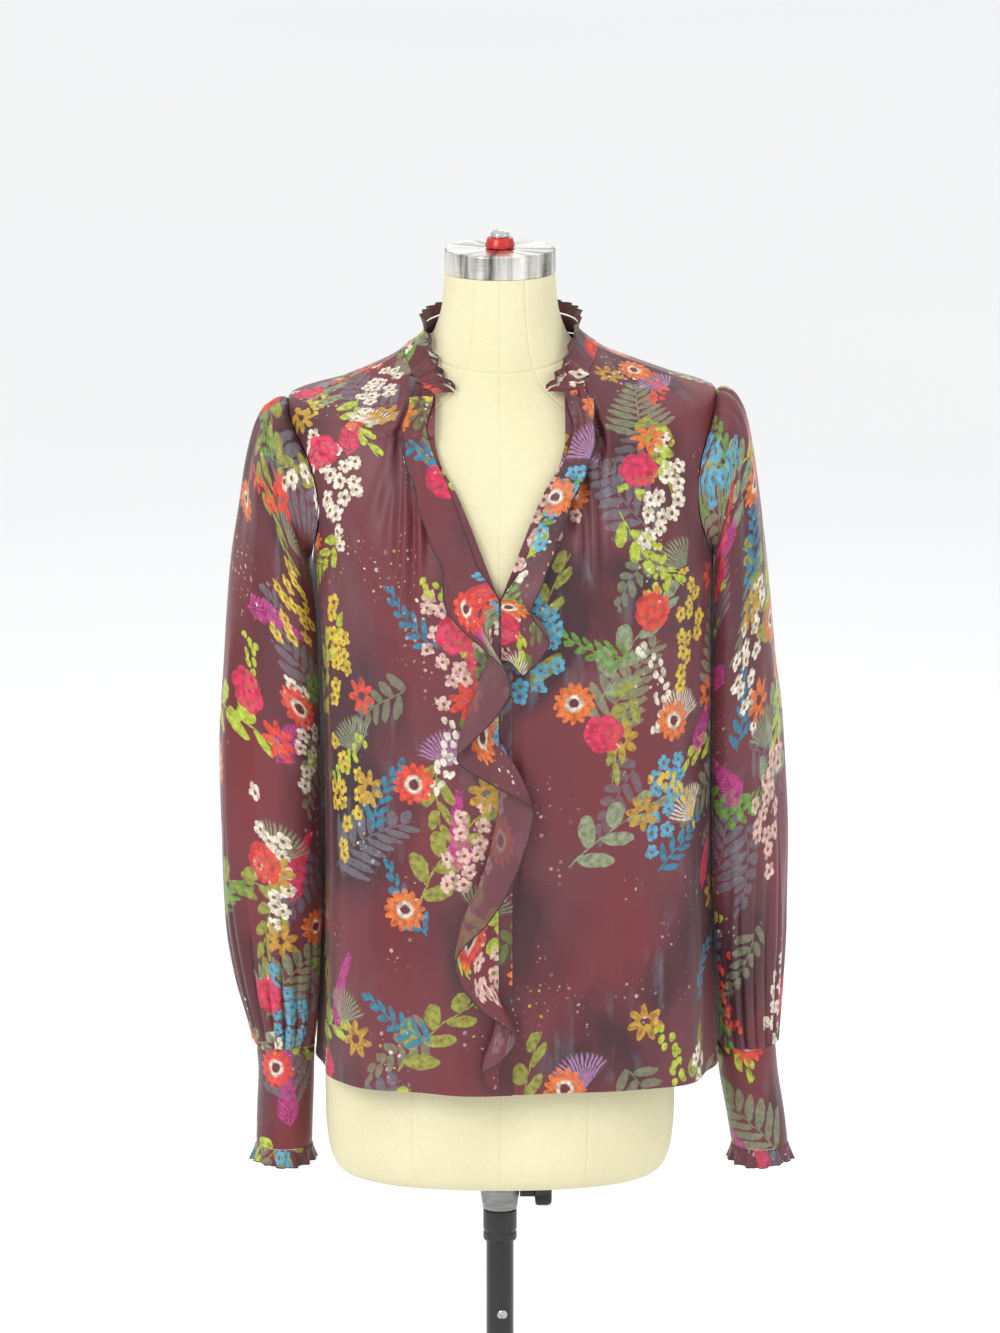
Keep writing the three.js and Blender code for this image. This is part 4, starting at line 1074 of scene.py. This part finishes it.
BACK_COLUMNS = 190
BACK_CREASES = [
    (-40, 1225, -44, 1120, 5, -2.0, 2),
    (-24, 1228, -22, 1100, 5, 1.8, 0),
    (26, 1228, 30, 1115, 6, -1.8, 2),
    (46, 1225, 56, 1120, 6, 1.6, -2),
    (-150, 1120, -100, 985, 15, 2.4, 8),
    (-132, 1080, -92, 940, 12, -2.0, 6),
    (152, 1125, 96, 970, 16, 2.2, -8),
    (128, 1075, 84, 930, 12, -2.0, -5),
    (-112, 1000, -104, 700, 22, 3.0, 8),
    (-62, 1010, -66, 640, 20, -2.6, -9),
    (-14, 1050, -10, 700, 24, 2.4, 6),
    (40, 1000, 44, 620, 22, -2.8, 8),
    (86, 1020, 92, 680, 20, 2.8, -7),
    (140, 980, 134, 700, 18, -2.4, 6),
    (-158, 980, -150, 690, 16, -2.6, 5),
    (-188, 900, -182, 612, 15, 2.2, -4),
    (-88, 780, -90, 606, 14, 2.0, 3),
    (14, 800, 18, 606, 16, -1.8, -4),
    (176, 920, 182, 612, 16, 2.4, 4),
]
z = BODY_LEVELS[:, None]
level = along(BODY, z)
start = 90 + armhole(z) + np.degrees(SEAM / 2 / (level["back"] - level["side"]))
phi = start + (360 - 2 * start) * np.linspace(0, 1, BACK_COLUMNS)[None, :]
grid = body_point(phi, z)
across = lengths(grid, 1)
across = across - across[:, -1:] / 2
grid = creased(grid, across, np.broadcast_to(z, across.shape), BACK_CREASES)
up = lengths(grid, 0)
grid = grid + normals(grid, False) * hemmed(up)[..., None]
back_flat = np.stack([across, up], -1)
back = cloth_piece("back_satin", grid, back_flat, (2.4, 1.21), ["back"])

# The sleeves are wide tubes, eased into the armholes with small gathers at the shoulder and drawn into the
# cuffs by fine gathers, which show as narrow troughs that start at uneven heights.
CUFF_TOP = 616
CUFF_BOTTOM = 521
SLEEVE_END = CUFF_TOP + SEAM
RIGHT_SLEEVE = table("step outer top inner low depth y", [
    [0, 190, 1212, 172, 1072, 52, 5],
    [0.03, 198, 1214, 172, 1066, 56, 5],
    [0.07, 209, 1205, 169, 1056, 60, 6],
    [0.12, 220, 1186, 163, 1042, 62, 8],
    [0.18, 228, 1156, 157, 1022, 63, 10],
    [0.26, 234, 1116, 153, 994, 63, 13],
    [0.36, 242, 1060, 150, 955, 62, 16],
    [0.48, 248, 975, 149, 900, 62, 18],
    [0.6, 253, 886, 148, 836, 62, 19],
    [0.72, 251, 796, 148, 768, 60, 19],
    [0.82, 246, 728, 150, 714, 56, 19],
    [0.9, 237, 675, 156, 668, 49, 19],
    [0.96, 226, 637, 163, 635, 40, 19],
    [1, 221.5, SLEEVE_END, 168.5, SLEEVE_END, 34, 19],
])
LEFT_SLEEVE = table("step outer top inner low depth y", [
    [0, 194, 1218, 192, 1073, 52, 5],
    [0.03, 201, 1226, 192, 1068, 56, 5],
    [0.07, 210, 1216, 190, 1058, 60, 6],
    [0.12, 220, 1198, 185, 1044, 62, 9],
    [0.18, 227, 1166, 181, 1024, 63, 13],
    [0.26, 233, 1124, 178, 996, 64, 17],
    [0.36, 240, 1062, 176, 956, 64, 20],
    [0.48, 247, 980, 176, 902, 64, 22],
    [0.6, 254, 890, 175, 838, 64, 23],
    [0.72, 258, 800, 175, 770, 62, 23],
    [0.82, 257, 730, 177, 716, 58, 22],
    [0.9, 254, 676, 184, 670, 50, 21],
    [0.96, 251, 637, 191, 635, 41, 20],
    [1, 250, SLEEVE_END, 196, SLEEVE_END, 35, 19],
])
GATHERS = 18
HEAD_GATHERS = 6
HEAD_REACH = 60
SIDE_GAP = 3
SIDE_SOFTNESS = 3
SLEEVE_COLUMNS = 240
SLEEVE_ROWS = 150
SLEEVE_WIDTH = 340.0
SLEEVE_LENGTH = 640.0


def armhole_point(side, turn):
    z = SHOULDER - (SHOULDER - UNDERARM) * (1 - np.cos(np.radians(turn))) / 2
    cut = armhole(z) * np.sign(np.sin(np.radians(turn)))
    return body_point(side * (90 - cut), z)


def beside_body(side, point):
    """Keeps hanging points of a sleeve or cuff just outside the body."""
    z = np.clip(point[..., 2], HEM, UNDERARM)
    level = along(BODY, z)
    off = point[..., 1] - level["side"]
    deep = np.where(off < 0, level["front"] + level["side"], level["back"] - level["side"])
    cosine = -np.sign(off) * np.minimum(1, np.abs(off) / deep) ** (level["square"] / 2)
    limit = side * body_point(side * np.degrees(np.arccos(cosine)), z)[..., 0] + SIDE_GAP
    beyond = side * point[..., 0] - limit
    moved = point.copy()
    moved[..., 0] = side * (limit + (beyond + np.hypot(beyond, SIDE_SOFTNESS)) / 2)
    return moved


def tube_flat(columns, girth, up):
    """The flat places of a tube that was cut open: as wide as its girth, with one column more."""
    across = np.arange(columns + 1) * girth / columns
    return np.stack(np.broadcast_arrays(across[None, :], up), -1)


def sleeve_grid(side, rows, creases):
    steps = np.concatenate([np.linspace(0, 0.14, 34), np.linspace(0.145, 1, SLEEVE_ROWS - 34)])
    step, turn = np.meshgrid(steps, np.linspace(0, 360, SLEEVE_COLUMNS, endpoint=False), indexing="ij")
    ring = along(rows, step)
    zero = np.zeros_like(step)
    outer = np.stack([side * ring["outer"], ring["y"], ring["top"]], -1)
    inner = np.stack([side * ring["inner"], ring["y"], ring["low"]], -1)
    middle, across = (outer + inner) / 2, (outer - inner) / 2
    sine, cosine = np.sin(np.radians(turn)), np.cos(np.radians(turn))
    way = across / np.linalg.norm(across, axis=-1, keepdims=True)
    out = way * cosine[..., None] + np.stack([zero, -sine, zero], -1)
    uneven = 0.75 + 0.35 * np.cos(np.radians(5 * turn + 70)) * np.cos(np.radians(2 * turn + 15))
    wander = turn + 2.2 * np.sin(np.radians(3 * turn + 500 * step)) * ease(1, 0.8, step)
    begin = 0.66 + 0.12 * np.sin(np.radians(7 * turn + 30)) * np.sin(np.radians(4 * turn))
    pleats = ease(begin, begin + 0.27, step) * (1 - 0.3 * ease(0.94, 1, step)) * uneven
    trough = 2 * np.abs(np.cos(np.radians(GATHERS * wander / 2))) ** 0.55 - 1.1
    fine = np.abs(np.cos(np.radians(GATHERS * wander * 1.5 + 40))) ** 0.7 * ease(0.88, 0.99, step)
    soft = ease(0.2, 0.5, step) * (1 - ease(0.8, 1, step))
    around = (turn + 180) % 360 - 180
    head = ease(0, 0.03, step) * ease(0.16, 0.06, step) * ease(HEAD_REACH, 20, np.abs(around))
    fold = (
        3.9 * pleats * trough + 1.2 * fine
        + soft * (3.2 * np.cos(np.radians(3 * turn + 40)) + 1.8 * np.cos(np.radians(5 * turn + 200)))
        + 1.7 * head * (2 * np.abs(np.cos(np.radians(HEAD_GATHERS * 1.5 * turn))) ** 0.6 - 1)
    )
    full = middle + across * cosine[..., None] + np.stack([zero, -ring["depth"] * sine, zero], -1)
    full = full + out * fold[..., None]
    full = creased(full, around * SLEEVE_WIDTH / 360, -step * SLEEVE_LENGTH, creases, looped=True)
    edge = armhole_point(side, turn)
    inward = np.array([side * 182, 5, (SHOULDER + UNDERARM) / 2]) - edge
    inward /= np.linalg.norm(inward, axis=-1, keepdims=True)
    edge = edge + inward * (WALL + SEAM) + np.array([side * (WALL / 2 + SEAM), 0, 0])
    share = ease(UNDERARM + 25, UNDERARM - 2, full[..., 2])[..., None]
    full = full + (beside_body(side, full) - full) * share
    share = ease(0, 0.08, step)[..., None]
    grid = edge + (full - edge) * share
    return grid, tube_flat(SLEEVE_COLUMNS, SLEEVE_WIDTH, -steps[:, None] * SLEEVE_LENGTH)


RIGHT_SLEEVE_CREASES = [
    (18, -40, 30, -260, 9, 2.4, 4),
    (44, -60, 60, -330, 12, -3.0, -5),
    (74, -90, 84, -380, 14, 2.6, 5),
    (104, -60, 108, -300, 10, -2.4, 3),
    (-30, -60, -38, -330, 14, -2.4, 5),
    (-70, -80, -76, -360, 14, 2.6, -4),
    (-112, -70, -116, -330, 14, -2.6, 4),
    (28, -280, 22, -560, 10, -3.0, -5),
    (60, -320, 66, -600, 10, 2.6, 4),
    (92, -330, 84, -590, 9, -2.8, 5),
    (-12, -300, -8, -540, 12, 2.4, 4),
    (-52, -320, -50, -590, 11, -2.6, -5),
    (-96, -330, -90, -580, 12, 2.6, 4),
    (-140, -300, -142, -560, 12, -2.4, 3),
    (140, -260, 136, -560, 14, 2.2, -4),
]
LEFT_SLEEVE_CREASES = [
    (x + 8, z - 22, to_x + 3, to_z + 14, width, 0.9 * height, -bow)
    for x, z, to_x, to_z, width, height, bow in RIGHT_SLEEVE_CREASES
]
for side, word, rows, creases, cut_from in (
    (-1, "right", RIGHT_SLEEVE, RIGHT_SLEEVE_CREASES, (0.2, 1.9)),
    (1, "left", LEFT_SLEEVE, LEFT_SLEEVE_CREASES, (1.4, 2.75)),
):
    grid, flat = sleeve_grid(side, rows, creases)
    sleeve = cloth_piece(f"sleeve_{word}_satin", grid, flat, cut_from, [f"sleeve_{word}"], True, side < 0)

# Each cuff is a deep plain band that closes behind the wrist, with a narrow gathered ruffle in its lower
# seam. Black thread binds the ruffle's free edge.
CUFF_Y = 19
CUFF_COLUMNS = 160
CUFF_ROWS = 40
CUFF_GIRTH = 2 * math.pi * 30
CUFF_RUFFLE = 15
CUFF_RUFFLE_COLUMNS = 416
CUFF_WAVES = 13
RUFFLE_FULLNESS = 1.7
RIGHT_CUFF = table("z x width depth", [
    [CUFF_BOTTOM, 196.5, 25.2, 31],
    [550, 195.4, 25.2, 31],
    [585, 194.6, 25.0, 31.5],
    [CUFF_TOP, 195, 26.4, 33.5],
])
LEFT_CUFF = table("z x width depth", [
    [CUFF_BOTTOM, 236.5, 25.4, 31],
    [550, 232, 26, 31],
    [585, 226.5, 26.4, 32],
    [CUFF_TOP, 223, 27, 34],
])
overlock = Finish("black overlock thread", roughness=0.75, Sheen_Weight=0.3)
thread_place = overlock.node("TexCoord").outputs["Object"]
thread_tone = overlock.level(thread_place, 2200.0, 2.0)
overlock.color(overlock.ramp(thread_tone, (0.4, rgb("#0f0b0e")), (0.62, rgb("#33262c"))))
overlock.bump(overlock.level(thread_place, 2600.0, 2.0), 0.0003)
BEAD_SIDES = 8


def bound_edge(name, path, radius=0.55, closed=False):
    """Thread over a free edge: a bead along a path of points in mm, a little uneven in thickness."""
    ahead = np.roll(path, -1, 0) - np.roll(path, 1, 0)
    if not closed:
        ahead[0], ahead[-1] = path[1] - path[0], path[-1] - path[-2]
    ahead /= np.maximum(np.linalg.norm(ahead, axis=1, keepdims=True), 1e-9)
    side = np.cross(ahead, np.array([0.13, 0.21, 0.97]))
    side /= np.maximum(np.linalg.norm(side, axis=1, keepdims=True), 1e-9)
    top = np.cross(side, ahead)
    count = len(path)
    size = radius * (1 + 0.12 * np.sin(np.arange(count) * 2.1))
    turn = 2 * np.pi * np.arange(BEAD_SIDES) / BEAD_SIDES
    points = path[:, None] + size[:, None, None] * (
        np.cos(turn)[None, :, None] * side[:, None] + np.sin(turn)[None, :, None] * top[:, None]
    )
    faces = tube_faces(count, BEAD_SIDES, closed)
    return made_piece(name, points.reshape(-1, 3) * MM, faces, overlock, "form", "printed_satin", smooth=80)


def cuff_point(side, rows, turn, z):
    ring = along(rows, z)
    turn, z = np.broadcast_arrays(turn, z)
    return np.stack([
        side * (ring["x"] + ring["width"] * np.cos(np.radians(turn))),
        CUFF_Y - ring["depth"] * np.sin(np.radians(turn)),
        z,
    ], -1)


def cuff_mesh(rows, columns):
    """Rows and turns of a grid round a cuff."""
    return np.meshgrid(rows, np.linspace(0, 360, columns, endpoint=False), indexing="ij")


def away_from_wrist(side, turn):
    return np.stack([side * np.cos(np.radians(turn)), -np.sin(np.radians(turn)), np.zeros_like(turn)], -1)


def cuff_grid(side, rows):
    z, turn = cuff_mesh(np.linspace(CUFF_BOTTOM, CUFF_TOP, CUFF_ROWS), CUFF_COLUMNS)
    up = z - CUFF_BOTTOM
    soft = 0.7 * np.cos(np.radians(3 * turn + 1.6 * up)) * np.sin(np.pi * up / (CUFF_TOP - CUFF_BOTTOM))
    seams = 0.5 * bell(z - CUFF_TOP + 1.5, 1.5) - 0.45 * (bell(z - CUFF_TOP + 5, 0.9) + bell(up - 3, 0.9))
    closing = 0.6 * ease(262, 266, turn) * ease(300, 290, turn)
    push = (soft + seams + closing)[..., None]
    grid = cuff_point(side, rows, turn, z) + away_from_wrist(side, turn) * push
    return grid, tube_flat(CUFF_COLUMNS, CUFF_GIRTH, up[:, :1])


def cuff_ruffle_grid(side, rows):
    share, turn = cuff_mesh(np.linspace(0, 1, 14), CUFF_RUFFLE_COLUMNS)
    grid = cuff_point(side, rows, turn, np.full_like(turn, CUFF_BOTTOM))
    uneven = 0.8 + 0.35 * np.cos(np.radians(4 * turn + 20)) * np.cos(np.radians(turn))
    wave = 2.6 * share * uneven * np.cos(np.radians(CUFF_WAVES * turn + 14 * np.sin(np.radians(3 * turn))))
    flute = 0.7 * share ** 2 * np.cos(np.radians(31 * turn + 80))
    pinch = 0.5 * bell(share - 0.1, 0.08) * np.cos(np.radians(52 * turn))
    ripple = 1.2 * share * np.cos(np.radians(3 * turn + 60))
    grid = grid + away_from_wrist(side, turn) * (3.2 * share + wave + flute + pinch)[..., None]
    grid[..., 2] = CUFF_BOTTOM - SEAM - (CUFF_RUFFLE + ripple) * share
    flat = tube_flat(CUFF_RUFFLE_COLUMNS, CUFF_GIRTH * RUFFLE_FULLNESS, -share[:, :1] * CUFF_RUFFLE)
    return grid, flat


for side, word, rows, cut_from in (
    (-1, "right", RIGHT_CUFF, (3.1, 0.2)),
    (1, "left", LEFT_CUFF, (3.6, 0.9)),
):
    grid, flat = cuff_grid(side, rows)
    cuff = cloth_piece(f"cuff_{word}_satin", grid, flat, cut_from, [f"cuff_{word}"], True, side > 0)
    grid, flat = cuff_ruffle_grid(side, rows)
    edge = bound_edge(f"cuff_ruffle_{word}_edge", grid[-1], 0.5, closed=True)
    ruffle = cloth_piece(
        f"cuff_ruffle_{word}_satin", grid, flat, (cut_from[0], 1.7), [f"cuff_ruffle_{word}"], True, side < 0
    )

# The collar is a narrow band that stands up from the neckline and leans in towards the neck. Its ends lie
# down along the V. A narrow gathered ruffle, bound in black, stands in its upper seam.
COLLAR_END = 43
COLLAR_RISE = 18
COLLAR_LEAN = 17
COLLAR_DROP = 17
COLLAR_RUFFLE = 10
COLLAR_WAVES = 22


def collar_mesh(rows, columns):
    """Shares of the height and turns of a grid from one end of the collar to the other."""
    turns = np.linspace(COLLAR_END, 360 - COLLAR_END, columns)
    return np.meshgrid(np.linspace(0, 1, rows), turns, indexing="ij")


def collar_point(phi, share):
    phi, share = np.broadcast_arrays(phi, share)
    base = body_point(phi, np.full_like(phi, float(NECKLINE)))
    turn = np.where(phi > 180, 360 - phi, phi)
    back_share = ease(90, 180, turn)
    end = ease(COLLAR_END + 34, COLLAR_END, turn)
    inward = np.stack([-base[..., 0], -0.35 * base[..., 1] * (1 - end), np.zeros_like(phi)], -1)
    inward /= np.linalg.norm(inward, axis=-1, keepdims=True)
    curve = np.sin(share * np.pi / 2)
    lean = COLLAR_LEAN * (1 - 0.45 * back_share) * (curve + (share - curve) * end)
    point = base + inward * lean[..., None]
    point[..., 2] += 4 * SEAM + COLLAR_RISE * share - COLLAR_DROP * end * share
    return point


share, phi = collar_mesh(22, 260)
grid = collar_point(phi, share)
soft = 0.5 * np.cos(np.radians(9 * phi + 30)) * np.sin(np.pi * share)
groove = -0.4 * bell(share - 0.1, 0.035) - 0.4 * bell(share - 0.92, 0.035)
grid = grid + normals(grid, False) * (soft + groove)[..., None]
flat = np.stack([lengths(grid, 1)[:1] + 0 * share, lengths(grid, 0)], -1)
collar = cloth_piece("collar_satin", grid, flat, (4.3, 0.3), ["collar"])

share, phi = collar_mesh(12, 620)
grid = collar_point(phi, np.ones_like(phi))
out = np.stack([grid[..., 0], grid[..., 1], np.zeros_like(phi)], -1)
out /= np.linalg.norm(out, axis=-1, keepdims=True)
end = np.minimum(1, np.minimum(phi - COLLAR_END, 360 - COLLAR_END - phi) / 40)
turn = 360 * COLLAR_WAVES * (phi - COLLAR_END) / (360 - 2 * COLLAR_END)
wave = 1 + 2.2 * np.sin(np.radians(turn + 25 * np.sin(np.radians(4 * phi))))
wave = wave + 0.6 * share * np.sin(np.radians(2.7 * turn))
push = share * wave * (0.3 + 0.7 * end) - 7 * SEAM * (1 - end)
grid = grid + out * push[..., None]
grid[..., 2] += 5 * SEAM + share * COLLAR_RUFFLE * (0.35 + 0.65 * end)
flat = np.stack([lengths(grid, 1)[:1] * RUFFLE_FULLNESS + 0 * share, share * COLLAR_RUFFLE], -1)
collar_edge = bound_edge("collar_ruffle_edge", grid[-1], 0.5)
collar_ruffle = cloth_piece("collar_ruffle_satin", grid, flat, (4.3, 1.1), ["collar_ruffle"])

# A gathered ruffle runs down each side of the opening. The left front's ends below the V, where it goes
# under the lap. The right front's goes on to the hem and falls in loops that swing to either side, so that
# its wrong side shows on every second one. Black thread binds the free edges.
RUFFLE_COLUMNS = 26
RUFFLE_CLEAR = 2.4
LEAST_EDGE = 1.3
FLUTE_LENGTH = 27
PINCH_LENGTH = 7.3
RIDGE = 3
BORDER = 8
BORDER_LEVELS = (1058, 1090, 1196, 1224)
RUFFLE_TABLE = "z reach out hang bow"
LEFT_RUFFLE = table(RUFFLE_TABLE, [
    [1004, 8, 4, 2, 0],
    [1016, 21, 6, 24, 0],
    [1034, 36, 10, 25, 0],
    [1046, 42, 12, 25, 0],
    [1062, 24, 11, 11, 0],
    [1090, 27, 9, 6, 0],
    [1130, 27, 8, 5, 0],
    [1160, 28, 8, 5, 0],
    [1200, 25, 8, 6, 0],
    [1226, 20, 8, 2, 0],
])
RIGHT_RUFFLE = table(RUFFLE_TABLE, [
    [611, 6, 5, 2, 0],
    [630, 12, 9, 12, 0],
    [650, 14, 12, 22, 0],
    [672, -2, 18, 32, 5],
    [694, -16, 14, 34, 7],
    [706, -10, 20, 38, 8],
    [730, 20, 13, 38, 4],
    [756, 34, 14, 42, 0],
    [774, 38, 17, 44, 0],
    [790, 30, 21, 44, 5],
    [812, 8, 18, 43, 11],
    [845, -12, 16, 42, 13],
    [884, -26, 14, 42, 11],
    [908, -31, 16, 42, 5],
    [922, -22, 20, 44, 2],
    [940, 8, 14, 45, 2],
    [955, 32, 14, 45, 0],
    [963, 36, 17, 45, 0],
    [976, 26, 21, 45, 6],
    [998, 4, 18, 44, 13],
    [1022, -10, 15, 43, 14],
    [1036, -8, 19, 42, 14],
    [1056, 14, 14, 38, 8],
    [1078, 38, 11, 24, 2],
    [1096, 34, 9, 10, 0],
    [1130, 37, 8, 8, 0],
    [1175, 31, 7, 5, 0],
    [1205, 26, 8, 4, 0],
    [1226, 18, 8, 2, 0],
])


def front_point(x, z, away, gathered):
    """The front's surface at an x and a true height."""
    height = np.array(z, float)
    point = body_point(angle_at(x, height), height, away, gathered)
    for _ in range(12):
        height = np.minimum(NECKLINE, height + 0.7 * (z - point[..., 2]))
        point = body_point(angle_at(x, height), height, away, gathered)
    return point


def front_ruffle(side, rows, count):
    low, high = rows["z"][0], rows["z"][-1]
    z, share = np.meshgrid(np.linspace(low, high, count), np.linspace(0, 1, RUFFLE_COLUMNS), indexing="ij")
    row = along(rows, z)
    start, full, full_end, end = BORDER_LEVELS
    border = BORDER * ease(start, full, z) * ease(end, full_end, z)
    edge = np.maximum(LEAST_EDGE, along(FRONT_EDGE, z)["x"] + 1) + border
    rise = np.sin(share * np.pi / 2)
    loose = 0.4 + 0.6 * ease(1086, 1104, z)
    flute = loose * share ** 1.6 * np.sin(2 * np.pi * z / FLUTE_LENGTH + 1.5 * np.sin(z / 41) + side)
    pinch = bell(share - 0.08, 0.09) * np.sin(2 * np.pi * z / PINCH_LENGTH + 2 * np.sin(z / 23))
    x = side * (edge + (row["reach"] - border) * rise + row["bow"] * np.sin(share * np.pi) + 0.9 * flute)
    height = z - row["hang"] * share ** 2
    ridge = RIDGE * ease(1030, 1150, z) * rise
    grid = front_point(x, height, RUFFLE_CLEAR + ridge, 1 - rise)
    grid[..., 1] -= row["out"] * (0.6 * share + 0.4 * rise ** 1.2) + 1.1 * share + 0.9 * flute + 0.3 * pinch
    grid[..., 2] = height
    down = lengths(grid, 0).max(1, keepdims=True)
    flat = np.stack([side * lengths(grid, 1), down + 0 * share], -1)
    return grid, flat


for side, word, rows, count, cut, cut_from in (
    (1, "left", LEFT_RUFFLE, 190, (0.27, 0.034), (5.2, 0.1)),
    (-1, "right", RIGHT_RUFFLE, 560, (0.86, 0.044), (6.1, 0.6)),
):
    grid, flat = front_ruffle(side, rows, count)
    edge = bound_edge(f"front_ruffle_{word}_edge", grid[:, -1], 0.6)
    name = f"front_ruffle_{word}"
    ruffle = cloth_piece(f"{name}_satin", grid, flat, cut_from, [name], flip=side < 0)
